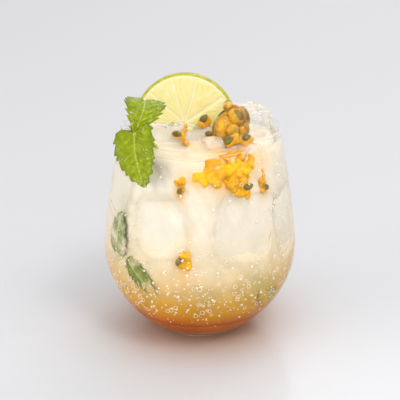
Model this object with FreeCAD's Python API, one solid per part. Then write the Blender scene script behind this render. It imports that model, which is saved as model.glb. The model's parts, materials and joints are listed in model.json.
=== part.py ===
"""Passion fruit mojito in a stemless tumbler, in millimetres.

The tumbler stands on z = 0 with its axis on +Z. The drink fills it to LEVEL, over a layer of
syrup. Ice cubes float at the surface, a lime wheel stands among them leaning back, passion fruit
pulp lies on the ice, and a mint sprig stands in the drink and hangs one leaf over the rim at the
front left. The front is -Y.
"""

import FreeCAD, Part
import math
import os

from FreeCAD import Placement, Rotation, Vector

# --- tumbler ---------------------------------------------------------------------------------
GLASS_HEIGHT = 105.0
BELLY_RADIUS = 47.5
BELLY_HEIGHT = 41.6
RIM_RADIUS = 38.4
FOOT_RADIUS = 19.5
WALL_AT_RIM = 1.3
WALL_AT_BELLY = 1.7
WALL_AT_FOOT = 2.6
BASE_THICKNESS = 3.0
PUNT_RADIUS = 15.0
PUNT_DEPTH = 0.9
BOWL_POWER = 1.787  # superellipse power of the bowl's outside below the belly
SHOULDER_POWER = 1.546  # how late the wall draws in between belly and rim
BOWL_STEPS = 9
SHOULDER_STEPS = 7

# --- drink -----------------------------------------------------------------------------------
FILL_GAP = 5.0
LEVEL = GLASS_HEIGHT - FILL_GAP
SYRUP_TOP = 13.0
ICE_CLEARANCE = 0.6  # the least room between ice and wall at the rim

# --- lime wheel ------------------------------------------------------------------------------
LIME_RADIUS = 25.0
LIME_THICKNESS = 5.0
LIME_EDGE_ROUND = 0.8
LIME_BACK = 12.0  # how far its centre stands behind the tumbler's axis
LIME_OVER_LEVEL = 1.4
LIME_SIDE_GAP = 2.0  # room between its left side and the ice's clear line
LIME_LEAN = 18.0  # degrees back from upright
LIME_TURN = -4.0  # degrees about +Z

# --- ice -------------------------------------------------------------------------------------
ICE_ROUND = 2.2
# name: centre in the rim's frame (x, y, height over LEVEL), size (x, y, z), turn about z, lean about x
ICE = {
    "ice_left": ((-14.6, 0.6, -6.2), (17.0, 18.5, 19.0), 5.0, 9.0),
    "ice_centre": ((2.8, 1.2, -7.0), (13.5, 16.5, 19.0), -8.0, 8.0),
    "ice_under_heap": ((17.4, -4.4, -4.4), (14.0, 14.0, 18.0), 9.0, 14.0),
    "ice_right": ((23.8, 13.8, -0.6), (18.6, 16.4, 20.0), 24.0, 5.0),
    "ice_front": ((6.2, -14.6, -3.4), (9.0, 9.5, 12.0), 16.0, 14.0),
    "ice_front_right": ((21.4, -18.4, -6.8), (14.0, 13.0, 16.0), -42.0, 6.0),
    "ice_back": ((4.6, 28.4, -5.0), (17.0, 12.0, 18.0), -6.0, 8.0),
    "ice_back_left": ((-14.5, 29.0, -6.2), (14.0, 10.0, 17.0), 26.0, -4.0),
}

# --- passion fruit pulp ----------------------------------------------------------------------
# name: lobes as (x, y, height over LEVEL, radius)
PULP = {
    "pulp_heap": [
        (10.8, -8.6, 4.6, 3.8), (15.6, -10.4, 4.4, 3.8), (20.0, -8.4, 4.8, 3.8), (11.4, -4.0, 7.8, 4.2),
        (16.2, -5.6, 8.8, 4.8), (20.4, -3.0, 7.8, 4.0), (14.2, -0.8, 13.2, 3.6), (18.4, -0.4, 9.8, 3.6),
        (21.6, 0.6, 6.6, 3.2),
    ],
    "pulp_strip": [
        (11.6, -15.0, 2.2, 2.4), (14.2, -15.6, 2.4, 2.7), (17.0, -15.4, 2.8, 2.3), (19.4, -15.0, 3.0, 2.4),
        (22.0, -14.6, 2.8, 2.6), (24.0, -14.0, 1.8, 2.0),
    ],
    "pulp_strand": [
        (-12.2, -7.2, 2.8, 1.9), (-10.0, -7.0, 2.8, 1.7), (-8.0, -5.6, 3.0, 1.5), (-7.2, -2.4, 3.5, 1.3),
        (-6.9, 0.8, 4.0, 1.3), (-6.8, 3.8, 4.4, 1.2), (-8.4, -8.8, 2.0, 1.7), (-7.4, -11.0, 0.9, 1.7),
        (-6.6, -13.4, 0.3, 1.8), (-6.0, -15.8, 0.2, 1.9),
    ],
    "pulp_dab": [(1.2, 6.4, 5.0, 2.5), (3.6, 5.6, 4.2, 2.5), (1.0, 3.0, 3.9, 2.4)],
}

# --- mint ------------------------------------------------------------------------------------
STEM_RADIUS = 1.1
LEAF_THICKNESS = 0.9
LEAF_TEETH = 8
TOOTH_DEPTH = 0.9
LEAF_POWER = 0.6
NODE_OVER_RIM = 5.5  # the height of the leaf pair's node over the rim
NODE_OUTSIDE_RIM = 2.2  # how far it stands out past the rim
SPRIG_BEARING = 220.8  # degrees about +Z from +X
# a leaf is widest at the share 0.5 ** (1 / skew) of its length
LOW_LEAF = dict(width=24.6, skew=0.55, arch=34.0)
LOW_ACROSS = Vector(0.82, -0.57, 0)
LOW_TIP_BEARING = 234.9
LOW_TIP_DROP = 23.3  # the height from the node down to the low leaf's tip
LOW_TIP_STAND_OFF = 2.2  # the tip's distance from the wall
HIGH_LEAF = dict(length=22.8, width=19.4, skew=1.25, arch=12.2)
HIGH_RISE = Vector(0.407, 0.0, 0.914)  # the way the high leaf leaves the node
HIGH_OVER = Vector(0.0, 1.0, 0.0)  # the way its tip curls over


def bowl_point(turn):
    """A point on the bowl's outside below the belly: turn 0 is the belly, foot_turn() the foot."""
    depth = BELLY_HEIGHT / math.sin(foot_turn()) ** (2.0 / BOWL_POWER)
    x = BELLY_RADIUS * math.cos(turn) ** (2.0 / BOWL_POWER)
    return Vector(x, 0, BELLY_HEIGHT - depth * math.sin(turn) ** (2.0 / BOWL_POWER))


def foot_turn():
    """The superellipse turn at which the bowl has drawn in to the foot's radius."""
    return math.acos((FOOT_RADIUS / BELLY_RADIUS) ** (BOWL_POWER / 2.0))


def shoulder_point(belly_radius, rim_radius, share):
    """A point on the wall between the belly (share 0) and the lip (share 1)."""
    x = belly_radius - (belly_radius - rim_radius) * share ** SHOULDER_POWER
    return Vector(x, 0, BELLY_HEIGHT + (lip_height() - BELLY_HEIGHT) * share)


def lip_height():
    """The height at which the lip's half round starts."""
    return GLASS_HEIGHT - WALL_AT_RIM / 2


def smooth_edge(points, start=None):
    """One spline edge through points, leaving the first one along start where that is given."""
    curve = Part.BSplineCurve()
    if start is None:
        curve.interpolate(Points=points)
    else:
        end = (points[-1] - points[-2]).normalize()
        curve.interpolate(Points=points, InitialTangent=start, FinalTangent=end)
    return curve.toShape()


def outer_edge():
    """The tumbler's outside, from the foot's edge up to the lip."""
    turns = [foot_turn() * (1.0 - i / BOWL_STEPS) for i in range(BOWL_STEPS)]
    shares = [i / SHOULDER_STEPS for i in range(SHOULDER_STEPS + 1)]
    points = [bowl_point(turn) for turn in turns]
    points += [shoulder_point(BELLY_RADIUS, RIM_RADIUS, share) for share in shares]
    return smooth_edge(points)


def inner_bowl_point(turn):
    """The point inside the wall across from bowl_point(turn), one wall's thickness in."""
    step = 1e-3
    along = (bowl_point(turn + step) - bowl_point(max(turn - step, 0.0))).normalize()
    share = (turn / foot_turn()) ** 2
    wall = WALL_AT_BELLY + (WALL_AT_FOOT - WALL_AT_BELLY) * share
    return bowl_point(turn) + Vector(along.z, 0, -along.x) * wall


def inner_edge():
    """The tumbler's inside, from the floor's middle up to the lip."""
    turns = [foot_turn() * (1.0 - i / BOWL_STEPS) for i in range(1, BOWL_STEPS)]
    shares = [i / SHOULDER_STEPS for i in range(SHOULDER_STEPS + 1)]
    points = [Vector(0, 0, BASE_THICKNESS), Vector(FOOT_RADIUS * 0.55, 0, BASE_THICKNESS + 0.1)]
    points += [inner_bowl_point(turn) for turn in turns]
    belly, rim = BELLY_RADIUS - WALL_AT_BELLY, RIM_RADIUS - WALL_AT_RIM
    points += [shoulder_point(belly, rim, share) for share in shares]
    return smooth_edge(points, start=Vector(1, 0, 0))


def revolved(edges):
    """The solid that a closed outline in the XZ plane sweeps about +Z."""
    face = Part.Face(Part.Wire(Part.__sortEdges__(edges)))
    solid = face.revolve(Vector(0, 0, 0), Vector(0, 0, 1), 360)
    return Part.Solid(solid.Shells[0]) if solid.ShapeType != "Solid" else solid


def tumbler():
    """The glass: bowl, rounded lip, flat foot ring and shallow punt."""
    lip = Part.Arc(
        Vector(RIM_RADIUS, 0, lip_height()),
        Vector(RIM_RADIUS - WALL_AT_RIM / 2, 0, GLASS_HEIGHT),
        Vector(RIM_RADIUS - WALL_AT_RIM, 0, lip_height()),
    ).toShape()
    foot = Part.makeLine(Vector(PUNT_RADIUS, 0, 0), Vector(FOOT_RADIUS, 0, 0))
    punt = Part.Arc(
        Vector(0, 0, PUNT_DEPTH),
        Vector(PUNT_RADIUS / 2, 0, PUNT_DEPTH * 0.75),
        Vector(PUNT_RADIUS, 0, 0),
    ).toShape()
    middle = Part.makeLine(Vector(0, 0, BASE_THICKNESS), Vector(0, 0, PUNT_DEPTH))
    return revolved([punt, foot, outer_edge(), lip, inner_edge(), middle])


def cavity():
    """The room inside the tumbler, closed by a flat lid at the lip."""
    top = lip_height()
    lid = Part.makeLine(Vector(RIM_RADIUS - WALL_AT_RIM, 0, top), Vector(0, 0, top))
    middle = Part.makeLine(Vector(0, 0, top), Vector(0, 0, BASE_THICKNESS))
    return revolved([inner_edge(), lid, middle])


def slab(low, high):
    """A slab wider than the tumbler between two heights."""
    side = 4 * BELLY_RADIUS
    return Part.makeBox(side, side, high - low, Vector(-side / 2, -side / 2, low))


def one_solid(shape, name):
    """The largest solid of a shape, which is the piece once crumbs from a cut are dropped."""
    solids = sorted(shape.Solids, key=lambda s: s.Volume)
    if not solids:
        raise ValueError(name + " has no solid left")
    return solids[-1]


def clear_radius():
    """The radius that stays clear of the wall from the rim down to the belly."""
    return RIM_RADIUS - WALL_AT_RIM - ICE_CLEARANCE


def lime_centre():
    """The wheel's centre, far enough from the left wall for its radius."""
    half_chord = math.sqrt(clear_radius() ** 2 - LIME_BACK**2)
    return Vector(LIME_SIDE_GAP + LIME_RADIUS - half_chord, LIME_BACK, LEVEL + LIME_OVER_LEVEL)


def lime_wheel():
    """A round slice with softened rind edges, standing and leaning back."""
    wheel = Part.makeCylinder(LIME_RADIUS, LIME_THICKNESS, Vector(0, 0, -LIME_THICKNESS / 2))
    rims = [e for e in wheel.Edges if isinstance(e.Curve, Part.Circle)]
    wheel = wheel.makeFillet(LIME_EDGE_ROUND, rims)
    stand = Rotation(Vector(1, 0, 0), 90.0 - LIME_LEAN)
    turn = Rotation(Vector(0, 0, 1), LIME_TURN)
    wheel.Placement = Placement(lime_centre(), turn.multiply(stand))
    return wheel


def ice_cube(centre, size, turn, lean):
    """A rounded block of ice, turned about z and then leaned about x."""
    x, y, z = size
    block = Part.makeBox(x, y, z, Vector(-x / 2, -y / 2, -z / 2))
    block = block.makeFillet(ICE_ROUND, block.Edges)
    spin = Rotation(Vector(0, 0, 1), turn).multiply(Rotation(Vector(1, 0, 0), lean))
    place = Vector(centre[0], centre[1], LEVEL + centre[2])
    block.Placement = Placement(place, spin)
    return block


def pulp(lobes):
    """A lump of pulp: overlapping round lobes fused into one solid."""
    balls = [Part.makeSphere(r, Vector(x, y, LEVEL + z)) for x, y, z, r in lobes]
    return balls[0].multiFuse(balls[1:])


def leaf_half_width(width, skew, share):
    """Half the leaf's width at a share of its length, pointed at both ends."""
    return width / 2 * math.sin(math.pi * share**skew) ** LEAF_POWER


def leaf(length, width, skew, arch):
    """A toothed leaf along +X from the origin, arched over a cylinder of radius arch.

    Its two ends lie on z = 0 and its middle stands above them.
    """
    side = []
    for i in range(2 * LEAF_TEETH):
        share = (i + 0.5) / (2 * LEAF_TEETH)
        tooth = TOOTH_DEPTH / 2 if i % 2 else -TOOTH_DEPTH / 2
        side.append((share * length, leaf_half_width(width, skew, share) + tooth))
    outline = [(0.0, -STEM_RADIUS), (0.0, STEM_RADIUS)] + side + [(length, 0.0)]
    outline += [(x, -y) for x, y in reversed(side)]
    points = [Vector(x, y, -arch) for x, y in outline]
    plate = Part.Face(Part.makePolygon(points + points[:1])).extrude(Vector(0, 0, 3 * arch))
    drop = math.sqrt(arch**2 - (length / 2) ** 2)
    start = Vector(length / 2, -width, -drop)
    shell = Part.makeCylinder(arch, 2 * width, start, Vector(0, 1, 0))
    shell = shell.cut(Part.makeCylinder(arch - LEAF_THICKNESS, 2 * width, start, Vector(0, 1, 0)))
    upper = Part.makeBox(4 * arch, 2 * width, 2 * arch, start + Vector(-2 * arch, 0, 0))
    return one_solid(plate.common(shell).common(upper), "leaf")


def outer_radius(height):
    """The tumbler's outer radius at a height between the belly and the lip."""
    share = (height - BELLY_HEIGHT) / (lip_height() - BELLY_HEIGHT)
    return shoulder_point(BELLY_RADIUS, RIM_RADIUS, share).x


def low_run(node):
    """From the node to the low leaf's tip, which hangs just off the wall."""
    height = node.z - LOW_TIP_DROP
    bearing = math.radians(LOW_TIP_BEARING)
    reach = outer_radius(height) + LOW_TIP_STAND_OFF
    return Vector(reach * math.cos(bearing), reach * math.sin(bearing), height) - node


def sprig_node():
    """Where the leaf pair meets the stem, just outside and over the rim."""
    bearing = math.radians(SPRIG_BEARING)
    reach = RIM_RADIUS + NODE_OUTSIDE_RIM
    return Vector(reach * math.cos(bearing), reach * math.sin(bearing), GLASS_HEIGHT + NODE_OVER_RIM)


def aimed(shape, base, along, across):
    """Places a leaf at base with its length along one direction and its width across another."""
    along.normalize()
    face = along.cross(across).normalize()
    shape.Placement = Placement(base, Rotation(along, face.cross(along), face, "XYZ"))
    return shape


def stem(node):
    """The stem: from the leaf pair's node over the rim and down into the drink."""
    inward = Vector(-node.x, -node.y, 0).normalize()
    sizes = [(0.0, 0.0), (4.4, -3.0), (9.0, -5.6), (13.5, -10.6), (16.0, -18.0), (16.6, -27.0)]
    points = [node + inward * x + Vector(0, 0, z) for x, z in sizes]
    joints = [Part.makeSphere(STEM_RADIUS, point) for point in points]
    runs = [
        Part.makeCylinder(STEM_RADIUS, a.distanceToPoint(b), a, b - a)
        for a, b in zip(points, points[1:])
    ]
    return joints + runs


def mint_sprig():
    """The stem with its two leaves, as one solid."""
    node = sprig_node()
    run = low_run(node)
    low = aimed(leaf(length=run.Length, **LOW_LEAF), node, run, LOW_ACROSS)
    half = math.asin(HIGH_LEAF["length"] / 2 / HIGH_LEAF["arch"])
    chord = HIGH_OVER * math.sin(half) + HIGH_RISE * math.cos(half)
    high = aimed(leaf(**HIGH_LEAF), node, chord, HIGH_RISE.cross(HIGH_OVER))
    pieces = stem(node) + [low, high]
    return one_solid(pieces[0].multiFuse(pieces[1:]), "mint_sprig")


def build():
    """Every piece by its node's name, none of them sharing any room."""
    glass, room, lime = tumbler(), cavity(), lime_wheel()
    shaft = Part.makeCylinder(clear_radius(), GLASS_HEIGHT)
    pieces = {"glass": glass, "lime_wheel": lime, "mint_sprig": mint_sprig()}
    solids = [lime]
    for name, (centre, size, turn, lean) in ICE.items():
        pieces[name] = one_solid(ice_cube(centre, size, turn, lean).common(shaft).cut(solids), name)
        solids.append(pieces[name])
    for name, lobes in PULP.items():
        pieces[name] = one_solid(pulp(lobes).cut(solids), name)
        solids.append(pieces[name])
    solids.append(pieces["mint_sprig"])
    pieces["syrup"] = room.common(slab(0, SYRUP_TOP))
    pieces["drink"] = one_solid(room.common(slab(SYRUP_TOP, LEVEL)).cut(solids), "drink")
    return pieces


def main():
    """Writes each piece to parts/NODE.step."""
    os.makedirs("parts", exist_ok=True)
    for name, shape in build().items():
        shape.exportStep(os.path.join("parts", name + ".step"))
        print(name, round(shape.Volume, 1), len(shape.Solids), shape.isValid())


main()
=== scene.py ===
"""The looks of a passion fruit mojito in a stemless tumbler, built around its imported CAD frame.

The front is -Y and the tumbler stands on z = 0 with its axis on +Z. All sizes are in metres.
"""

import json
import logging
import math
from dataclasses import dataclass, field
from enum import Enum
from typing import Sequence

import bpy
import numpy as np
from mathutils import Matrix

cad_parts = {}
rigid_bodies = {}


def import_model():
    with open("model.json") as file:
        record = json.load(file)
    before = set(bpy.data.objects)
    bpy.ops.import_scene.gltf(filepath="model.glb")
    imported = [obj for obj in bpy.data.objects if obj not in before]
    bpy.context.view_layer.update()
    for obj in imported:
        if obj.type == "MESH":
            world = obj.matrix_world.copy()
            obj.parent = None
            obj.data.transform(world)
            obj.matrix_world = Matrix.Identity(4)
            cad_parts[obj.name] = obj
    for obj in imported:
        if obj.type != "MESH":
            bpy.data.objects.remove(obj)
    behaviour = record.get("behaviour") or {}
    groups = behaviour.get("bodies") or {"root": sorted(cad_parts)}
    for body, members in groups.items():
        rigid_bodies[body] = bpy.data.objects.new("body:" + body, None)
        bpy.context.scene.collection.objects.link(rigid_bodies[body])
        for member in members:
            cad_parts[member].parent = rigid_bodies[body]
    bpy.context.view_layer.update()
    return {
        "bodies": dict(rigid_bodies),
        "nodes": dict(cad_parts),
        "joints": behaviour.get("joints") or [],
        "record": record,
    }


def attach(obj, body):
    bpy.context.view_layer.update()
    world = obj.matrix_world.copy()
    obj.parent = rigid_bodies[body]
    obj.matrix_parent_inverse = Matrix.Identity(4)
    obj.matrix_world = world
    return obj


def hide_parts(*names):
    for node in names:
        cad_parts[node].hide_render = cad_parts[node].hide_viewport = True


MM = 0.001
BODY = "root"
LOG = logging.getLogger("mojito")

Rgb = tuple[float, float, float]
Triple = tuple[float, float, float]
Lobe = tuple[float, float, float, float]
Patch = tuple[float, float, float, float, float]

# The drink's colours from the top of the syrup to the surface, each with its share of the height.
DRINK_COLOURS: tuple[tuple[float, Rgb], ...] = (
    (0.0, (0.62, 0.15, 0.0)),
    (0.045, (0.74, 0.24, 0.001)),
    (0.10, (0.82, 0.38, 0.008)),
    (0.18, (0.84, 0.46, 0.06)),
    (0.27, (0.83, 0.58, 0.27)),
    (0.38, (0.86, 0.72, 0.50)),
    (0.60, (0.87, 0.80, 0.68)),
    (0.85, (0.89, 0.83, 0.74)),
    (1.0, (0.88, 0.80, 0.67)),
)
SYRUP_TOP = 13 * MM
LEVEL = 100 * MM
DRINK_MIDDLE: Triple = (0.0, 0.0, 0.06)
# A ray that has been mirrored more often than this is trapped in the glass.
MIRRORED_ONCE = 1.5


# --- shapes ------------------------------------------------------------------------------------


@dataclass
class Shape:
    """A mesh in the making.

    Attributes:
        points: one row of x, y, z for each vertex.
        quads: one row of four vertex numbers for each four-sided face.
        tris: one row of three vertex numbers for each three-sided face.
        values: named numbers, one for each vertex, that a material may read.
    """

    points: np.ndarray
    quads: np.ndarray = field(default_factory=lambda: np.zeros((0, 4), int))
    tris: np.ndarray = field(default_factory=lambda: np.zeros((0, 3), int))
    values: dict[str, np.ndarray] = field(default_factory=dict)

    def volume(self) -> float:
        """Returns the signed volume: positive when the faces point outwards."""
        tris = np.vstack([self.tris, self.quads[:, [0, 1, 2]], self.quads[:, [0, 2, 3]]])
        a, b, c = (self.points[tris[:, i]] for i in range(3))
        return float(np.einsum("ij,ij->i", a, np.cross(b, c)).sum() / 6.0)

    def outward(self) -> "Shape":
        """Turns every face round if the shape is inside out, and returns the shape."""
        if self.volume() < 0:
            self.quads, self.tris = self.quads[:, ::-1], self.tris[:, ::-1]
        return self


def join(shapes: Sequence[Shape]) -> Shape:
    """Puts several shapes in one.

    Args:
        shapes: shapes with the same value names.

    Returns:
        One shape with all their points, faces and values.
    """
    starts = np.cumsum([0] + [len(shape.points) for shape in shapes])
    return Shape(
        np.vstack([shape.points for shape in shapes]),
        np.vstack([shape.quads + start for shape, start in zip(shapes, starts)]),
        np.vstack([shape.tris + start for shape, start in zip(shapes, starts)]),
        {key: np.concatenate([shape.values[key] for shape in shapes]) for key in shapes[0].values},
    )


def lattice(points: np.ndarray, around: bool = True, poles: bool = False) -> Shape:
    """Faces a grid of points.

    Args:
        points: rows by columns by x, y, z.
        around: whether the last column joins the first.
        poles: whether the first and the last row each close to one point.

    Returns:
        The grid as a shape: quads between rows, and fans of triangles at the poles.
    """
    rows, cols = points.shape[:2]
    number = np.arange(rows * cols).reshape(rows, cols)
    beside = np.roll(number, -1, axis=1) if around else number[:, 1:]
    here = number if around else number[:, :-1]
    quads = np.stack([here[:-1], beside[:-1], beside[1:], here[1:]], axis=-1)
    flat = points.reshape(-1, 3)
    if not poles:
        return Shape(flat, quads.reshape(-1, 4))
    ends = np.array([points[0].mean(axis=0), points[-1].mean(axis=0)])
    low = np.stack([np.full(cols, rows * cols), beside[1], here[1]], axis=-1)
    high = np.stack([here[-2], beside[-2], np.full(cols, rows * cols + 1)], axis=-1)
    shape = Shape(np.vstack([flat, ends]), quads[1:-1].reshape(-1, 4), np.vstack([low, high]))
    return loose_rows_dropped(shape, cols, rows)


def loose_rows_dropped(shape: Shape, cols: int, rows: int) -> Shape:
    """Drops the first and the last row of a grid, which its two pole points stand for."""
    keep = np.ones(len(shape.points), bool)
    keep[:cols] = False
    keep[(rows - 1) * cols : rows * cols] = False
    number = np.cumsum(keep) - 1
    return Shape(shape.points[keep], number[shape.quads], number[shape.tris])


def turned(profile: np.ndarray, count: int) -> np.ndarray:
    """A profile carried round the z axis.

    Args:
        profile: rows of radius and height.
        count: columns round the axis.

    Returns:
        The grid: x is radius times cosine, y is radius times sine, z is height.
    """
    angle = np.arange(count) * 2 * math.pi / count
    radius, height = profile[:, :1], profile[:, 1:]
    flat = [radius * np.cos(angle), radius * np.sin(angle), height + 0 * angle]
    return np.stack(flat, axis=-1)


def ball(rows: int, cols: int) -> Shape:
    """A unit ball: rows of equal latitude steps closed by two poles."""
    lat = np.linspace(-math.pi / 2, math.pi / 2, rows)
    return lattice(turned(np.stack([np.cos(lat), np.sin(lat)], axis=1), cols), poles=True).outward()


def scattered(unit: Shape, centres: np.ndarray, frames: np.ndarray, sizes: np.ndarray) -> Shape:
    """Copies of one shape.

    Args:
        unit: the shape that is copied.
        centres: where each copy lies.
        frames: each copy's three axes, as rows.
        sizes: each copy's scale along its three axes.

    Returns:
        All the copies: centre plus the sum over axes of coordinate times size times axis.
    """
    points = np.einsum("pk,nk,nkj->npj", unit.points, sizes, frames) + centres[:, None, :]
    count = len(centres)
    step = (np.arange(count) * len(unit.points))[:, None, None]
    values = {key: np.tile(value, count) for key, value in unit.values.items()}
    quads = (unit.quads[None] + step).reshape(-1, 4)
    tris = (unit.tris[None] + step).reshape(-1, 3)
    return Shape(points.reshape(-1, 3), quads, tris, values)


def unit_rows(rows: np.ndarray) -> np.ndarray:
    """Rows scaled to length one."""
    return rows / np.maximum(np.linalg.norm(rows, axis=-1, keepdims=True), 1e-12)


def frames_facing(normals: np.ndarray, spins: np.ndarray) -> np.ndarray:
    """Axes for copies that lie on a surface.

    Args:
        normals: the direction of each copy's third axis.
        spins: each copy's turn about it, in radians.

    Returns:
        Three unit axes for each copy, as rows.
    """
    normal = unit_rows(normals)
    helper = np.where(np.abs(normal[:, 2:]) > 0.9, [[1.0, 0.0, 0.0]], [[0.0, 0.0, 1.0]])
    side = unit_rows(np.cross(helper, normal))
    up = np.cross(normal, side)
    cos, sin = np.cos(spins)[:, None], np.sin(spins)[:, None]
    return np.stack([side * cos + up * sin, up * cos - side * sin, normal], axis=1)


def rotation(axis: str, degrees: float) -> np.ndarray:
    """A turn about x, y or z, as a matrix whose columns are where the three axes go."""
    cos, sin = math.cos(math.radians(degrees)), math.sin(math.radians(degrees))
    first, second = {"x": (1, 2), "y": (2, 0), "z": (0, 1)}[axis]
    matrix = np.eye(3)
    matrix[first, first] = matrix[second, second] = cos
    matrix[first, second], matrix[second, first] = -sin, sin
    return matrix


def ripple(points: np.ndarray, wavelength: float, seed: int, waves: int = 9) -> np.ndarray:
    """Smooth unevenness in space.

    Args:
        points: where it is wanted.
        wavelength: its usual size.
        seed: which pattern.
        waves: how many sine waves of random direction and phase are added up.

    Returns:
        A number from about -1 to 1 for each point.
    """
    draw = np.random.default_rng(seed)
    ways = unit_rows(draw.normal(size=(waves, 3))) * draw.uniform(0.6, 1.5, (waves, 1))
    phase = draw.uniform(0, 2 * math.pi, waves)
    heights = np.sin(points @ ways.T * (2 * math.pi / wavelength) + phase)
    return heights.sum(axis=-1) / math.sqrt(waves * 2.0)


def ease(low: float, high: float, value: np.ndarray) -> np.ndarray:
    """A smooth step: 0 at low, 1 at high, with level ends."""
    share = np.clip((value - low) / (high - low), 0.0, 1.0)
    return share * share * (3 - 2 * share)


def smooth_path(points: np.ndarray, count: int) -> np.ndarray:
    """A curve near a few points: quadratic pieces that join midway between them.

    Args:
        points: the route.
        count: how many places along the curve are wanted.

    Returns:
        The places, the first and the last of the route among them.
    """
    middles = (points[1:] + points[:-1]) / 2
    knots = np.vstack([points[:1], middles[1:-1], points[-1:]])
    controls = points[1:-1]
    place = np.linspace(0, len(controls), count)
    piece = np.minimum(place.astype(int), len(controls) - 1)
    t = (place - piece)[:, None]
    a, b, c = knots[piece], controls[piece], knots[piece + 1]
    return a * (1 - t) ** 2 + b * 2 * t * (1 - t) + c * t**2


def tube(path: np.ndarray, radii: np.ndarray, cols: int = 14) -> Shape:
    """A round bar along a path: a circle of the given radius square to each step, closed."""
    along = unit_rows(np.gradient(path, axis=0))
    side = unit_rows(np.cross(along, [[0.31, 0.2, 0.93]]))
    up = np.cross(along, side)
    angle = np.arange(cols) * 2 * math.pi / cols
    ring = side[:, None] * np.cos(angle)[:, None] + up[:, None] * np.sin(angle)[:, None]
    grid = path[:, None] + ring * radii[:, None, None]
    ends = [np.repeat(path[i][None, None], cols, axis=1) for i in (0, -1)]
    return lattice(np.vstack([ends[0], grid, ends[1]]), poles=True).outward()


# --- node trees --------------------------------------------------------------------------------


class Tree:
    """Adds nodes to a node tree and joins them."""

    def __init__(self, tree: bpy.types.NodeTree) -> None:
        """Takes a tree and clears it."""
        self.tree = tree
        tree.nodes.clear()

    def add(self, kind: str, **inputs: object) -> bpy.types.Node:
        """Adds a node.

        Args:
            kind: the node's type without its ShaderNode prefix.
            inputs: sockets by name, with _ for a space, each given a value or a socket to join.

        Returns:
            The node.
        """
        node = self.tree.nodes.new("ShaderNode" + kind)
        for name, value in inputs.items():
            self.feed(node.inputs[name.replace("_", " ")], value)
        return node

    def feed(self, socket: bpy.types.NodeSocket, value: object) -> None:
        """Joins an output to a socket, or sets the socket's own value."""
        if isinstance(value, bpy.types.NodeSocket):
            self.tree.links.new(value, socket)
        elif isinstance(value, tuple) and len(value) == 3 and socket.type == "RGBA":
            socket.default_value = (*value, 1.0)
        else:
            socket.default_value = value

    def place(self) -> bpy.types.NodeSocket:
        """Returns the piece's own coordinates, in metres."""
        return self.add("TexCoord").outputs["Object"]

    def value(self, name: str) -> bpy.types.NodeSocket:
        """Returns a number that the mesh holds at each vertex."""
        node = self.add("Attribute")
        node.attribute_name = name
        return node.outputs["Fac"]

    def math(self, operation: str, *values: object, clamp: bool = False) -> bpy.types.NodeSocket:
        """Returns a sum, product or other operation on numbers."""
        node = self.add("Math")
        node.operation, node.use_clamp = operation, clamp
        for socket, value in zip(node.inputs, values):
            self.feed(socket, value)
        return node.outputs[0]

    def mix(
        self, share: object, first: object, second: object, blend: str = "MIX"
    ) -> bpy.types.NodeSocket:
        """Returns a colour between two colours."""
        node = self.add("Mix")
        node.data_type, node.blend_type = "RGBA", blend
        node.clamp_factor = True
        for index, value in ((0, share), (6, first), (7, second)):
            self.feed(node.inputs[index], value)
        return node.outputs[2]

    def ramp(self, share: object, stops: Sequence[tuple[float, Rgb]]) -> bpy.types.NodeSocket:
        """Returns a colour from a row of colours, each at its own place from 0 to 1."""
        node = self.add("ValToRGB")
        marks = node.color_ramp.elements
        while len(marks) < len(stops):
            marks.new(0.5)
        for mark, (spot, colour) in zip(marks, stops):
            mark.position, mark.color = spot, (*colour, 1.0)
        self.feed(node.inputs[0], share)
        return node.outputs[0]

    def by_height(self, place: bpy.types.NodeSocket, swirl: float) -> bpy.types.NodeSocket:
        """Returns the drink's colour at each height, shifted up and down by soft swirls."""
        height = self.add("SeparateXYZ", Vector=place).outputs["Z"]
        noise = self.add("TexNoise", Vector=place, Scale=45.0, Detail=4.0, Distortion=0.8)
        drift = self.math("SUBTRACT", noise.outputs["Fac"], 0.5)
        height = self.math("ADD", height, self.math("MULTIPLY", drift, 2 * swirl))
        share = self.math("DIVIDE", self.math("SUBTRACT", height, SYRUP_TOP), LEVEL - SYRUP_TOP)
        return self.ramp(share, DRINK_COLOURS)

    def group(self, tree: bpy.types.NodeTree, **inputs: object) -> bpy.types.Node:
        """Adds a node group and feeds its named inputs."""
        node = self.tree.nodes.new("ShaderNodeGroup")
        node.node_tree = tree
        for name, value in inputs.items():
            self.feed(node.inputs[name.replace("_", " ")], value)
        return node


@dataclass(frozen=True)
class Swells:
    """A wet surface's relief: how close its swells and its grain lie, its strength and depth."""

    coarse: float
    fine: float
    strength: float
    depth: float


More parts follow.
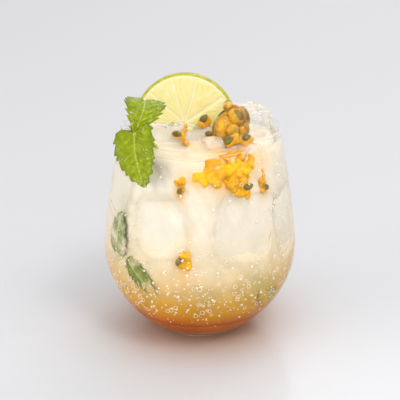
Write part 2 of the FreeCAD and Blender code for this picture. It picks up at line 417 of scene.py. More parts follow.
class Effects:
    """The node groups that several finishes share, each made once."""

    def __init__(self) -> None:
        """Makes the groups."""
        self.mottle = self._mottle()
        self.relief = self._relief()

    def patches(
        self, nodes: Tree, place: object, light: Rgb, dark: Rgb, scale: float, contrast: float
    ) -> bpy.types.NodeSocket:
        """Adds soft patches to a material and returns their colour."""
        tones = {"Light": light, "Dark": dark, "Scale": scale, "Contrast": contrast}
        return nodes.group(self.mottle, Place=place, **tones).outputs["Color"]

    def bump(self, nodes: Tree, shader: bpy.types.Node, swells: Swells) -> None:
        """Gives a shader the wet relief."""
        bumped = nodes.group(
            self.relief,
            Place=nodes.place(),
            Coarse=swells.coarse,
            Fine=swells.fine,
            Strength=swells.strength,
            Distance=swells.depth,
        )
        nodes.feed(shader.inputs["Normal"], bumped.outputs["Normal"])

    @staticmethod
    def _new(
        name: str, inputs: dict[str, tuple[str, object]], outputs: dict[str, str]
    ) -> tuple[Tree, bpy.types.Node, bpy.types.Node]:
        """Starts a group with its sockets."""
        tree = bpy.data.node_groups.new(name, "ShaderNodeTree")
        for title, (kind, start) in inputs.items():
            socket = tree.interface.new_socket(title, in_out="INPUT", socket_type=kind)
            if start is not None:
                socket.default_value = start
        for title, kind in outputs.items():
            tree.interface.new_socket(title, in_out="OUTPUT", socket_type=kind)
        nodes = Tree(tree)
        ends = [tree.nodes.new("NodeGroupInput"), tree.nodes.new("NodeGroupOutput")]
        return nodes, ends[0], ends[1]

    def _mottle(self) -> bpy.types.NodeTree:
        """A colour that drifts between two tones in soft patches of two sizes."""
        sockets = {
            "Place": ("NodeSocketVector", None),
            "Light": ("NodeSocketColor", (1, 1, 1, 1)),
            "Dark": ("NodeSocketColor", (0, 0, 0, 1)),
            "Scale": ("NodeSocketFloat", 100.0),
            "Contrast": ("NodeSocketFloat", 1.5),
        }
        nodes, start, end = self._new(
            "soft patches", sockets, {"Color": "NodeSocketColor", "Mask": "NodeSocketFloat"}
        )
        grain = nodes.add(
            "TexNoise",
            Vector=start.outputs["Place"],
            Scale=start.outputs["Scale"],
            Detail=4.0,
            Roughness=0.55,
        )
        spread = nodes.math("SUBTRACT", grain.outputs["Fac"], 0.5)
        spread = nodes.math("MULTIPLY", spread, start.outputs["Contrast"])
        mask = nodes.math("ADD", spread, 0.5, clamp=True)
        colour = nodes.mix(mask, start.outputs["Dark"], start.outputs["Light"])
        nodes.feed(end.inputs["Color"], colour)
        nodes.feed(end.inputs["Mask"], mask)
        return nodes.tree

    def _relief(self) -> bpy.types.NodeTree:
        """A bumped normal: coarse swells with a fine grain on them."""
        sockets = {
            "Place": ("NodeSocketVector", None),
            "Coarse": ("NodeSocketFloat", 150.0),
            "Fine": ("NodeSocketFloat", 900.0),
            "Strength": ("NodeSocketFloat", 0.3),
            "Distance": ("NodeSocketFloat", 0.0004),
        }
        nodes, start, end = self._new("wet relief", sockets, {"Normal": "NodeSocketVector"})
        swell = nodes.add(
            "TexNoise", Vector=start.outputs["Place"], Scale=start.outputs["Coarse"], Detail=2.0
        )
        grain = nodes.add(
            "TexNoise", Vector=start.outputs["Place"], Scale=start.outputs["Fine"], Detail=2.0
        )
        height = nodes.math("MULTIPLY", grain.outputs["Fac"], 0.3)
        height = nodes.math("ADD", height, swell.outputs["Fac"])
        bump = nodes.add(
            "Bump",
            Strength=start.outputs["Strength"],
            Distance=start.outputs["Distance"],
            Height=height,
        )
        nodes.feed(end.inputs["Normal"], bump.outputs["Normal"])
        return nodes.tree


# --- finishes ----------------------------------------------------------------------------------


@dataclass(frozen=True)
class Finish:
    """What every finish shares: its name, and the constant numbers of its shader."""

    name: str
    roughness: float = 0.3
    ior: float = 1.45
    transmission: float = 0.0
    coat: float = 0.0
    specular: float = 0.5
    leaky: bool = False
    subsurface: float = 0.0
    subsurface_reach: float = 0.002

    def start(self) -> tuple[bpy.types.Material, Tree, bpy.types.Node]:
        """Makes the material with its Principled shader.

        Returns:
            The material, its tree and its shader node.
        """
        material = bpy.data.materials.new(self.name)
        material.use_nodes = True
        nodes = Tree(material.node_tree)
        shader = nodes.add(
            "BsdfPrincipled",
            Roughness=self.roughness,
            IOR=self.ior,
            Transmission_Weight=self.transmission,
            Coat_Weight=self.coat,
            Specular_IOR_Level=self.specular,
            Subsurface_Weight=self.subsurface,
            Subsurface_Scale=self.subsurface_reach,
        )
        shader.inputs["Coat Roughness"].default_value = 0.06
        out = nodes.add("OutputMaterial", Surface=shader.outputs[0])
        out.name = "out"
        return material, nodes, shader

    def let_lamps_through(self, nodes: Tree, shader: bpy.types.Node, tint: Rgb) -> None:
        """Lets shadow rays pass a clear piece, tinted, while all else meets its shader.

        A leaky piece also lets out the rays that its own walls have mirrored more than once.

        Args:
            nodes: the material's tree.
            shader: its Principled shader.
            tint: the colour of light that has passed the surface.
        """
        path = nodes.add("LightPath")
        clear = nodes.add("BsdfTransparent", Color=tint)
        surface = shader.outputs[0]
        shares = [path.outputs["Is Shadow Ray"]]
        if self.leaky:
            depth = path.outputs["Glossy Depth"]
            shares.insert(0, nodes.math("GREATER_THAN", depth, MIRRORED_ONCE))
        for share in shares:
            mixed = nodes.tree.nodes.new("ShaderNodeMixShader")
            nodes.feed(mixed.inputs[0], share)
            nodes.feed(mixed.inputs[1], surface)
            nodes.feed(mixed.inputs[2], clear.outputs[0])
            surface = mixed.outputs[0]
        nodes.feed(nodes.tree.nodes["out"].inputs["Surface"], surface)


@dataclass(frozen=True)
class Clear(Finish):
    """Glass, ice or thin liquid: clear, with an uneven surface."""

    tint: Rgb = (1.0, 1.0, 1.0)
    relief: float = 0.0
    coarse: float = 120.0
    depth: float = 0.0004

    def make(self, effects: Effects) -> bpy.types.Material:
        """Returns the material."""
        material, nodes, shader = self.start()
        nodes.feed(shader.inputs["Base Color"], self.tint)
        if self.relief:
            swells = Swells(self.coarse, self.coarse * 5, self.relief, self.depth)
            effects.bump(nodes, shader, swells)
        self.let_lamps_through(nodes, shader, self.tint)
        return material


@dataclass(frozen=True)
class Cloud(Finish):
    """The cloudy drink: a row of colours by height, with swirls, pale ice and orange haze, and
    painted shade in the creases round the sunk ice.
    """

    swirl: float = 3.6 * MM
    ice: Rgb = (0.89, 0.86, 0.80)
    painted_crease_shade: Rgb = (0.60, 0.49, 0.30)
    green: Rgb = (0.36, 0.38, 0.11)
    haze: Rgb = (0.84, 0.42, 0.015)
    even: Rgb = (1.0, 1.0, 1.0)
    dull: Rgb = (0.89, 0.865, 0.82)
    patch_scale: float = 130.0
    patch_contrast: float = 2.2
    fray_scale: float = 260.0
    swells: Swells = Swells(140.0, 700.0, 0.25, 0.0006)

    def make(self, effects: Effects) -> bpy.types.Material:
        """Returns the material."""
        material, nodes, shader = self.start()
        place = nodes.place()
        colour = nodes.by_height(place, self.swirl)
        patches = effects.patches(
            nodes, place, self.even, self.dull, self.patch_scale, self.patch_contrast
        )
        colour = nodes.mix(1.0, colour, patches, "MULTIPLY")
        colour = nodes.mix(nodes.value("ice"), colour, self.ice)
        # painted shade: darker brown in the creases along the sunk ice blocks' outlines
        colour = nodes.mix(nodes.value("painted_crease_shade"), colour, self.painted_crease_shade)
        colour = nodes.mix(nodes.value("green"), colour, self.green)
        fray = nodes.add("TexNoise", Vector=place, Scale=self.fray_scale, Detail=3.0)
        uneven = nodes.math("ADD", fray.outputs["Fac"], 0.5)
        spread = nodes.math("MULTIPLY", nodes.value("haze"), uneven, clamp=True)
        colour = nodes.mix(spread, colour, self.haze)
        nodes.feed(shader.inputs["Base Color"], colour)
        effects.bump(nodes, shader, self.swells)
        return material


@dataclass(frozen=True)
class Patchy(Finish):
    """A moist plain surface that drifts between two tones."""

    light: Rgb = (0.8, 0.8, 0.8)
    dark: Rgb = (0.5, 0.5, 0.5)
    scale: float = 300.0
    contrast: float = 2.0
    relief: float = 0.3
    depth: float = 0.0003
    lamps_through: bool = False

    def make(self, effects: Effects) -> bpy.types.Material:
        """Returns the material."""
        material, nodes, shader = self.start()
        place = nodes.place()
        patches = effects.patches(nodes, place, self.light, self.dark, self.scale, self.contrast)
        nodes.feed(shader.inputs["Base Color"], patches)
        swells = Swells(self.scale, self.scale * 4, self.relief, self.depth)
        effects.bump(nodes, shader, swells)
        if self.lamps_through:
            self.let_lamps_through(nodes, shader, self.light)
        return material


@dataclass(frozen=True)
class LimeFinish(Finish):
    """Cut lime: flesh with juice cells, membranes, pale pith and green rind, by masks."""

    flesh: Rgb = (0.83, 0.72, 0.22)
    flesh_pale: Rgb = (0.90, 0.83, 0.42)
    membrane: Rgb = (0.95, 0.89, 0.58)
    pith: Rgb = (0.93, 0.88, 0.52)
    rind: Rgb = (0.66, 0.56, 0.03)
    rind_dark: Rgb = (0.34, 0.38, 0.015)
    cell_scale: float = 34.0
    cell_walls: float = 0.2
    streak_stretch: Triple = (90.0, 14.0, 1.0)
    streak_share: float = 0.55
    membrane_share: float = 0.75
    skin_scale: float = 420.0
    swells: Swells = Swells(500.0, 1800.0, 0.35, 0.0003)

    def make(self, effects: Effects) -> bpy.types.Material:
        """Returns the material."""
        material, nodes, shader = self.start()
        place = nodes.place()
        across = nodes.add("UVMap").outputs["UV"]
        cells = nodes.add("TexVoronoi", Vector=across, Scale=self.cell_scale)
        cells.feature = "DISTANCE_TO_EDGE"
        inside = nodes.math("MULTIPLY", cells.outputs["Distance"], 7.0, clamp=True)
        walls = nodes.math("MULTIPLY", nodes.math("SUBTRACT", 1.0, inside), self.cell_walls)
        patches = effects.patches(nodes, place, self.flesh_pale, self.flesh, 160.0, 2.4)
        flesh = nodes.mix(walls, patches, self.membrane)
        stretched = nodes.add("Mapping", Vector=across, Scale=self.streak_stretch)
        along = stretched.outputs["Vector"]
        streaks = effects.patches(nodes, along, self.flesh_pale, self.flesh, 1.0, 3.5)
        flesh = nodes.mix(self.streak_share, flesh, streaks)
        membrane = nodes.math("MULTIPLY", nodes.value("membrane"), self.membrane_share)
        colour = nodes.mix(membrane, flesh, self.membrane)
        colour = nodes.mix(nodes.value("pith"), colour, self.pith)
        skin = effects.patches(nodes, place, self.rind, self.rind_dark, self.skin_scale, 2.6)
        colour = nodes.mix(nodes.value("rind"), colour, skin)
        nodes.feed(shader.inputs["Base Color"], colour)
        effects.bump(nodes, shader, self.swells)
        return material


@dataclass(frozen=True)
class LeafFinish(Finish):
    """A mint leaf: yellow-green puckers between paler veins, with painted shade in its hollows, at
    its edge and in the folds between its blisters.
    """

    light: Rgb = (0.42, 0.55, 0.03)
    dark: Rgb = (0.15, 0.24, 0.006)
    vein: Rgb = (0.62, 0.70, 0.20)
    veiled: bool = False
    patch_scale: float = 330.0
    blister_scale: float = 560.0
    blister_fold_shade: float = 0.9
    blister_depth: float = 0.0009
    veil_scale: float = 120.0
    veil_share: float = 0.8

    def make(self, effects: Effects) -> bpy.types.Material:
        """Returns the material."""
        material, nodes, shader = self.start()
        place = nodes.place()
        patches = effects.patches(nodes, place, self.light, self.dark, self.patch_scale, 1.6)
        # painted shade: darker where the blade lies low between its swells and towards its edge
        shade = nodes.mix(nodes.value("painted_hollow_shade"), patches, self.dark)
        # painted shade: each blister cell darkens towards its edge, where the bump is low
        blister = nodes.add("TexVoronoi", Vector=place, Scale=self.blister_scale)
        blister.feature = "SMOOTH_F1"
        far = blister.outputs["Distance"]
        painted_fold_shade = nodes.math("MULTIPLY", nodes.math("POWER", far, 2.0), self.blister_fold_shade, clamp=True)
        shade = nodes.mix(painted_fold_shade, shade, self.dark)
        colour = nodes.mix(nodes.value("vein"), shade, self.vein)
        if self.veiled:
            haze = nodes.add("TexNoise", Vector=place, Scale=self.veil_scale, Detail=4.0)
            thick = nodes.math("SUBTRACT", haze.outputs["Fac"], 0.40)
            veil = nodes.math("MULTIPLY", thick, 4.5, clamp=True)
            drink = nodes.by_height(place, Cloud.swirl)
            colour = nodes.mix(nodes.math("MULTIPLY", veil, self.veil_share), colour, drink)
        nodes.feed(shader.inputs["Base Color"], colour)
        raised = nodes.math("SUBTRACT", 1.0, far)
        bumped = nodes.add("Bump", Strength=1.0, Distance=self.blister_depth, Height=raised)
        nodes.feed(shader.inputs["Normal"], bumped.outputs["Normal"])
        return material


class Look(Enum):
    """The finishes by name."""

    GLASS = Clear("tumbler glass", roughness=0.0, ior=1.2, transmission=1.0, leaky=True)
    LIQUID = Clear(
        "clear drink at the wall",
        leaky=True,
        roughness=0.0,
        ior=1.2,
        transmission=1.0,
        tint=(1.0, 0.985, 0.94),
    )
    ICE = Clear(
        "wet ice",
        roughness=0.06,
        ior=1.31,
        transmission=0.78,
        tint=(0.99, 0.995, 1.0),
        relief=0.5,
        coarse=90.0,
        depth=0.0012,
    )
    SUNK_ICE = Clear(
        "sunk ice",
        roughness=0.05,
        ior=1.07,
        transmission=0.92,
        tint=(0.99, 0.99, 0.98),
        relief=0.5,
        coarse=90.0,
        depth=0.0008,
    )
    DEW = Clear("water drops", roughness=0.03, ior=1.45, transmission=0.8)
    CLOUD = Cloud("cloudy drink", roughness=0.5, specular=0.0)
    SYRUP = Patchy(
        "dark amber syrup",
        roughness=0.4,
        specular=0.0,
        light=(0.74, 0.18, 0.0),
        dark=(0.48, 0.085, 0.0),
        scale=40.0,
        relief=0.1,
    )
    BUBBLE = Patchy(
        "bubbles",
        roughness=0.12,
        light=(0.97, 0.92, 0.80),
        dark=(0.88, 0.80, 0.62),
        scale=600.0,
        relief=0.0,
    )
    JUICE = Patchy(
        "juice sacs",
        roughness=0.02,
        ior=1.38,
        transmission=0.97,
        light=(1.0, 0.93, 0.62),
        dark=(1.0, 0.74, 0.28),
        scale=300.0,
        relief=0.6,
        lamps_through=True,
    )
    HONEY = Patchy(
        "pulp inside its sacs",
        roughness=0.2,
        coat=0.4,
        light=(0.88, 0.52, 0.018),
        dark=(0.28, 0.16, 0.014),
        scale=230.0,
        contrast=3.2,
        relief=0.5,
        depth=0.0006,
    )
    SUNK_PULP = Patchy(
        "sunk pulp",
        roughness=0.3,
        specular=0.2,
        light=(0.96, 0.56, 0.001),
        dark=(0.70, 0.31, 0.002),
        contrast=2.8,
        scale=120.0,
        relief=0.5,
        depth=0.0006,
    )
    PULP = Patchy(
        "pulp",
        roughness=0.14,
        coat=0.6,
        light=(0.95, 0.48, 0.001),
        dark=(0.62, 0.26, 0.002),
        contrast=2.8,
        scale=260.0,
        relief=0.4,
        depth=0.0005,
    )
    SEED = Patchy(
        "seeds",
        roughness=0.18,
        coat=0.5,
        light=(0.26, 0.21, 0.025),
        dark=(0.075, 0.055, 0.010),
        scale=500.0,
        relief=0.3,
    )
    LIME = LimeFinish(
        "cut lime", roughness=0.32, coat=0.25, subsurface=0.15, subsurface_reach=0.003
    )
    MINT = LeafFinish(
        "mint leaf",
        roughness=0.19,
        specular=0.30,
        light=(0.54, 0.62, 0.001),
        dark=(0.14, 0.21, 0.001),
        vein=(0.60, 0.68, 0.10),
    )
    SUNK_MINT = LeafFinish(
        "sunk mint leaf",
        roughness=0.5,
        specular=0.0,
        light=(0.34, 0.38, 0.09),
        dark=(0.13, 0.18, 0.02),
        vein=(0.46, 0.49, 0.18),
        veiled=True,
    )


class Finishes:
    """Makes each finish when it is first asked for."""

    def __init__(self) -> None:
        """Starts with no material and the shared effects."""
        self.effects = Effects()
        self.made: dict[Look, bpy.types.Material] = {}

    def get(self, look: Look) -> bpy.types.Material:
        """Returns the material of a look."""
        if look not in self.made:
            self.made[look] = look.value.make(self.effects)
        return self.made[look]


# --- pieces ------------------------------------------------------------------------------------


class Workshop:
    """Turns shapes into finished pieces of the drink."""

    def __init__(self, frame: dict) -> None:
        """Takes the loaded frame."""
        self.nodes = frame["nodes"]
        self.finishes = Finishes()

    def piece(
        self, name: str, shape: Shape, look: Look, slot: str, stands_for: Sequence[str] = ()
    ) -> bpy.types.Object:
        """Makes a piece that rides on the drink's one body.

        Args:
            name: the piece's name.
            shape: its mesh.
            look: its finish.
            slot: the record's material slot; not used.
            stands_for: CAD nodes that it replaces.

        Returns:
            The Blender object.
        """
        mesh = bpy.data.meshes.new(name)
        mesh.from_pydata(shape.points.tolist(), [], shape.quads.tolist() + shape.tris.tolist())
        for key, numbers in shape.values.items():
            if key == "uv":
                continue
            mesh.attributes.new(key, "FLOAT", "POINT").data.foreach_set("value", numbers)
        if "uv" in shape.values:
            layer = mesh.uv_layers.new(name="UVMap")
            spots = np.empty(len(mesh.loops), int)
            mesh.loops.foreach_get("vertex_index", spots)
            layer.uv.foreach_set("vector", shape.values["uv"][spots].ravel())
        mesh.polygons.foreach_set("use_smooth", np.ones(len(mesh.polygons), bool))
        mesh.materials.append(self.finishes.get(look))
        mesh.update()
        made = bpy.data.objects.new(name, mesh)
        bpy.context.scene.collection.objects.link(made)
        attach(made, BODY)
        if stands_for:
            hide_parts(*stands_for)
        LOG.info("%s: %d faces", name, len(mesh.polygons))
        return made

    def dress(self, node: str, look: Look) -> None:
        """Gives a CAD node its finish."""
        for slot in self.nodes[node].material_slots:
            slot.material = self.finishes.get(look)
        LOG.info("%s: dressed", node)


@dataclass(frozen=True)
class Tumbler:
    """The glass: its outside and its inside as profiles of radius and height."""

    height: float = 105 * MM
    belly_radius: float = 47.5 * MM
    belly_height: float = 41.6 * MM
    rim_radius: float = 38.4 * MM
    foot_radius: float = 19.5 * MM
    wall_at_rim: float = 1.3 * MM
    wall_at_belly: float = 1.7 * MM
    wall_at_foot: float = 2.6 * MM
    base_thickness: float = 3.0 * MM
    bowl_power: float = 1.787
    shoulder_power: float = 1.546
    floor_rows: int = 11

    def foot_turn(self) -> float:
        """The superellipse turn at which the bowl has drawn in to the foot."""
        return math.acos((self.foot_radius / self.belly_radius) ** (self.bowl_power / 2))

    def bowl(self, turn: np.ndarray) -> np.ndarray:
        """The outside below the belly: radius cos^(2/p), drop sin^(2/p) of the turn."""
        power = 2 / self.bowl_power
        depth = self.belly_height / math.sin(self.foot_turn()) ** power
        radius = self.belly_radius * np.cos(turn) ** power
        return np.stack([radius, self.belly_height - depth * np.sin(turn) ** power], axis=-1)

    def shoulder(self, belly: float, rim: float, share: np.ndarray) -> np.ndarray:
        """The wall over the belly: it draws in by the share of the height to a power."""
        radius = belly - (belly - rim) * share**self.shoulder_power
        top = self.height - self.wall_at_rim / 2
        return np.stack([radius, self.belly_height + (top - self.belly_height) * share], axis=-1)

    def inside(self, rows: int = 60) -> np.ndarray:
        """Returns the inside from the floor's middle to the lip: bowl points moved in square to
        the wall by its thickness, which grows with the square of the turn."""
        turn = np.linspace(self.foot_turn() * 0.93, 1e-3, rows)
        step = self.bowl(turn + 1e-4) - self.bowl(turn - 1e-4)
        step = unit_rows(step)
        share = (turn / self.foot_turn()) ** 2
        wall = self.wall_at_belly + (self.wall_at_foot - self.wall_at_belly) * share
        bowl = self.bowl(turn) + np.stack([step[:, 1], -step[:, 0]], axis=-1) * wall[:, None]
        floor_radius = np.linspace(0, 1, self.floor_rows + 1)[:-1, None] * bowl[0, 0]
        rise = bowl[0, 1] - self.base_thickness
        floor_height = self.base_thickness + rise * (floor_radius / bowl[0, 0]) ** 4
        floor = np.hstack([floor_radius, floor_height])
        wall_in = self.belly_radius - self.wall_at_belly
        rim_in = self.rim_radius - self.wall_at_rim
        over = self.shoulder(wall_in, rim_in, np.linspace(0.02, 1, rows))
        return np.vstack([floor, bowl, over])

    def inner_radius(self, height: np.ndarray) -> np.ndarray:
        """The inside's radius at a height over the floor's edge."""
        profile = self.inside()
        wall = profile[self.floor_rows :]
        return np.interp(height, wall[:, 1], wall[:, 0])

    def on_wall(
        self, bearing: np.ndarray, height: np.ndarray, inset: float | np.ndarray
    ) -> np.ndarray:
        """Places inside the wall.

        Args:
            bearing: degrees about +Z from +X.
            height: heights over the table.
            inset: distance in from the inside of the wall.

        Returns:
            Their x, y, z.
        """
        angle = np.radians(bearing)
        radius = self.inner_radius(height) - inset
        return np.stack([radius * np.cos(angle), radius * np.sin(angle), height], axis=-1)


@dataclass(frozen=True)
class IceCube:
    """A melting cube: centre, size, turn about z and lean about x."""

    node: str
    centre: Triple
    size: Triple
    turn: float
    lean: float

    def shape(self, seed: int) -> Shape:
        """A ball pushed out towards a cube: each coordinate to a low power, with soft dents."""
        unit = ball(40, 64)
        power = np.sign(unit.points) * np.abs(unit.points) ** 0.42
        block = power / np.max(np.abs(power), axis=1, keepdims=True) ** 0.72
        block *= (
            1 - 0.06 * (1 + ripple(unit.points, 1.6, seed))
            - 0.025 * ripple(unit.points, 0.6, seed + 50)
        )[:, None]
        points = block * np.array(self.size) * 0.5 * MM
        spin = rotation("z", self.turn) @ rotation("x", self.lean)
        place = points @ spin.T + np.array(self.centre) * MM
        return Shape(place, unit.quads, unit.tris).outward()


@dataclass(frozen=True)
class SunkIce:
    """An ice block under the surface that shows against the wall."""

    bearing: float
    height: float
    half_width: float
    half_height: float
    tilt: float
    depth: float = 5 * MM
    snug: float = 0.94
    squareness: float = 3.2

    def distance(self, bearing: np.ndarray, height: np.ndarray, radius: np.ndarray) -> np.ndarray:
        """Rounded-square distance from its middle: 1 on its outline."""
        off = (bearing - self.bearing + 180) % 360 - 180
        x, y = np.radians(off) * radius, height - self.height
        cos, sin = math.cos(math.radians(self.tilt)), math.sin(math.radians(self.tilt))
        u, v = (x * cos + y * sin) / self.half_width, (y * cos - x * sin) / self.half_height
        power = self.squareness
        return (np.abs(u) ** power + np.abs(v) ** power) ** (1 / power)

    def cube(self, tumbler: Tumbler, seed: int) -> Shape:
        """The block itself, flat to the wall. Its outer corners may reach into the glass."""
        sag = self.half_width**2 / (2 * float(tumbler.inner_radius(np.array(self.height))))
        inset = 0.75 * sag + self.depth + 0.5 * MM
        middle = tumbler.on_wall(np.array(self.bearing), np.array(self.height), inset)
        sides = (self.half_width, self.depth / self.snug, self.half_height)
        size = tuple(2 / MM * side * self.snug for side in sides)
        upright = IceCube("", (0.0, 0.0, 0.0), size, 0.0, 0.0).shape(seed + 20)
        spin = rotation("z", self.bearing - 270) @ rotation("y", -self.tilt)
        upright.points = upright.points @ spin.T + middle
        return upright


@dataclass
class Drink:
    """The drink in the tumbler: clear at the wall, cloudy inside, with syrup at the bottom."""

    tumbler: Tumbler
    level: float = LEVEL
    syrup_top: float = SYRUP_TOP
    into_wall: float = 0.25 * MM
    meniscus: float = 1.1 * MM
    meniscus_reach: float = 1.0 * MM
    cloud_inset: float = 3.4 * MM
    cloud_depth: float = 1.2 * MM
    shoulder: float = 3.0 * MM
    recess: float = 1.9 * MM
    fade_over: float = 4 * MM
    ice_paleness: float = 0.30
    crease_shade: float = 0.22
    lid_haze: float = 0.9
    wall_rows: int = 136
    turn_rows: int = 14
    disc_rows: int = 38
    cols: int = 220
    blocks: tuple[SunkIce, ...] = (
        SunkIce(243, 67 * MM, 13 * MM, 15 * MM, 8),
        SunkIce(303, 66 * MM, 17 * MM, 17 * MM, -12),
        SunkIce(345, 60 * MM, 13 * MM, 17 * MM, 15),
        SunkIce(25, 70 * MM, 15 * MM, 14 * MM, -9),
        SunkIce(68, 58 * MM, 14 * MM, 16 * MM, 12),
        SunkIce(110, 69 * MM, 15 * MM, 15 * MM, -14),
        SunkIce(152, 60 * MM, 13 * MM, 15 * MM, 6),
        SunkIce(196, 76 * MM, 12 * MM, 13 * MM, -10),
    )
    # bearing, height, half-width in degrees, half-height, strength
    hazes: tuple[Patch, ...] = (
        (292, 92 * MM, 20, 8 * MM, 1.1),
        (268, 91 * MM, 9, 5 * MM, 0.7),
        (320, 97 * MM, 13, 8 * MM, 0.50),
        (262, 97 * MM, 14, 8 * MM, 0.16),
        (256, 86 * MM, 4, 7 * MM, 0.7),
        (320, 83 * MM, 5, 7 * MM, 0.6),
        (259, 50 * MM, 5, 8 * MM, 0.6),
        (246, 78 * MM, 7, 3 * MM, 0.22),
        (262, 62 * MM, 5, 5 * MM, 0.16),
        (96, 89 * MM, 14, 7 * MM, 0.9),
        (170, 90 * MM, 12, 5 * MM, 0.5),
    )
    stains: tuple[Patch, ...] = (
        (208, 55 * MM, 8, 15 * MM, 0.62),
        (219, 45 * MM, 7, 7 * MM, 0.45),
        (230, 38 * MM, 8, 8 * MM, 0.60),
        (276, 33 * MM, 8, 6 * MM, 0.30),
        (312, 34 * MM, 17, 8 * MM, 0.46),
        (22, 46 * MM, 12, 12 * MM, 0.55),
        (92, 54 * MM, 12, 11 * MM, 0.50),
        (152, 36 * MM, 13, 8 * MM, 0.50),
    )

    def clear_shape(self) -> Shape:
        """The whole of the liquid, reaching just into the wall, with a meniscus at its edge."""
        inside = self.tumbler.inside()
        inside = inside[inside[:, 1] < self.level]
        slope = unit_rows(np.gradient(inside, axis=0))
        wall = inside + np.stack([slope[:, 1], -slope[:, 0]], axis=-1) * self.into_wall
        edge = float(self.tumbler.inner_radius(np.array(self.level))) + self.into_wall
        reach = np.concatenate(
            [np.linspace(0, 4 * self.meniscus_reach, 14), np.linspace(0.2, 1, 20) * edge]
        )
        rise = self.meniscus * np.exp(-reach / self.meniscus_reach)
        top = np.stack([edge - reach, self.level + rise], axis=-1)
        profile = np.vstack([wall, top])
        profile[0, 0] = profile[-1, 0] = 0.0
        return lattice(turned(profile, self.cols), poles=True).outward()

    def cloud_profile(self) -> tuple[np.ndarray, np.ndarray, np.ndarray]:
        """The core's outline: a flat foot, the wall moved in, a rounded edge and a flat lid.

        Returns:
            Rows of radius and height, and for each row a 1 or a 0 that says whether it is on
            the wall, and another that says whether it is on the lid.
        """
        top = self.level - self.cloud_depth
        turn = np.linspace(0, math.pi / 2, self.turn_rows)
        low = np.linspace(self.syrup_top - 0.5 * MM, top - self.shoulder, self.wall_rows + 1)[:-1]
        height = np.concatenate([low, top - self.shoulder * (1 - np.sin(turn))])
        round_off = np.concatenate([0 * low, self.shoulder * (1 - np.cos(turn))])
        wall = self.tumbler.inner_radius(height) - self.cloud_inset - round_off
        shrink = np.linspace(1, 0, self.disc_rows + 2)[1:]
        foot_radius = wall[0] * shrink[::-1][:-1]
        foot = np.stack([foot_radius, np.full(len(foot_radius), height[0])], axis=-1)
        lid = np.stack([wall[-1] * shrink, np.full(len(shrink), top)], axis=-1)
        profile = np.vstack([foot, np.stack([wall, height], axis=-1), lid])
        parts = [np.full(len(rows), float(kind)) for kind, rows in enumerate((foot, wall, lid))]
        part = np.concatenate(parts)
        return profile, (part == 1).astype(float), (part == 2).astype(float)

    def cloud_shape(self) -> Shape:
        """The cloudy core: the inside moved in, hollowed for the sunk blocks' outlines."""
        profile, side, lid = self.cloud_profile()
        side, lid = side[:, None], lid[:, None]
        top, bottom = self.level - self.cloud_depth, profile[0, 1]
        grid = turned(profile, 2 * self.cols)
        radius = np.hypot(grid[..., 0], grid[..., 1])
        bearing = np.degrees(np.arctan2(grid[..., 1], grid[..., 0])) % 360
        high = grid[..., 2]
        gap = np.min([block.distance(bearing, high, radius) for block in self.blocks], axis=0)
        recess = self.recess * (1 - ease(0.70, 1.08, gap)) * side
        near_end = np.minimum((top - high) / self.fade_over, (high - bottom) / self.fade_over)
        lumps = ripple(grid, 16 * MM, 11) * 0.5 * MM + ripple(grid, 6 * MM, 12) * 0.16 * MM
        grow = (lumps * side - recess) * ease(0, 1, near_end)
        out = np.stack([grid[..., 0], grid[..., 1], 0 * high], axis=-1)
        grid = grid + unit_rows(out) * grow[..., None]
        lift = ripple(grid, 14 * MM, 13) * 0.8 * MM + ripple(grid, 5 * MM, 14) * 0.25 * MM
        grid[..., 2] += np.minimum(lift * lid, 0.8 * MM)
        shape = lattice(grid, poles=True)
        # painted shade: a thin band along each sunk block's outline, at the edge of its recess
        painted_crease_shade = ease(0.96, 1.04, gap) * (1 - ease(1.06, 1.28, gap))
        marks = {
            "ice": self.ice_paleness * (1 - ease(0.70, 1.02, gap)) * side,
            "painted_crease_shade": self.crease_shade * painted_crease_shade * side,
            "green": self.bells(self.stains, bearing, high) * side,
            "haze": self.bells(self.hazes, bearing, high) * np.maximum(side, lid * self.lid_haze),
        }
        shape.values = {key: self.row_values(mark) for key, mark in marks.items()}
        return shape.outward()

    @staticmethod
    def row_values(mark: np.ndarray) -> np.ndarray:
        """Values of a grid with poles, in the order of its shape's points."""
        return np.concatenate([mark[1:-1].ravel(), [mark[0].mean(), mark[-1].mean()]])

    @staticmethod
    def bells(patches: Sequence[Patch], bearing: np.ndarray, height: np.ndarray) -> np.ndarray:
        """The highest of some bell-shaped patches, each with its own size and strength."""
        total = np.zeros_like(height)
        for middle, high, wide, tall, strength in patches:
            off = (bearing - middle + 180) % 360 - 180
            bell = np.exp(-((off / wide) ** 2) - ((height - high) / tall) ** 2)
            total = np.maximum(total, strength * bell)
        return total

    def syrup_shape(self) -> Shape:
        """The syrup under the cloud: the inside moved in a little, with a wavy top."""
        inside = self.tumbler.inside()
        inside = inside[inside[:, 1] < self.syrup_top]
        slope = unit_rows(np.gradient(inside, axis=0))
        wall = inside - np.stack([slope[:, 1], -slope[:, 0]], axis=-1) * 0.5 * MM
        rim = float(self.tumbler.inner_radius(np.array(self.syrup_top))) - 0.5 * MM
        share = np.linspace(1, 0, 30)
        top = np.stack([rim * share, self.syrup_top + 0.6 * MM * (1 - share**6)], axis=-1)
        profile = np.vstack([wall, top])
        profile[0, 0] = profile[-1, 0] = 0.0
        return lattice(turned(profile, self.cols), poles=True).outward()

    def make(self, shop: Workshop) -> None:
        """Makes and dresses the drink's pieces."""
        cubes = [block.cube(self.tumbler, number) for number, block in enumerate(self.blocks)]
        shop.piece("sunk_ice", join(cubes), Look.SUNK_ICE, "ice")
        shop.piece("drink_clear", self.clear_shape(), Look.LIQUID, "drink", ["drink"])
        shop.piece("drink_cloud", self.cloud_shape(), Look.CLOUD, "drink", ["drink"])
        shop.piece("syrup_layer", self.syrup_shape(), Look.SYRUP, "syrup", ["syrup"])


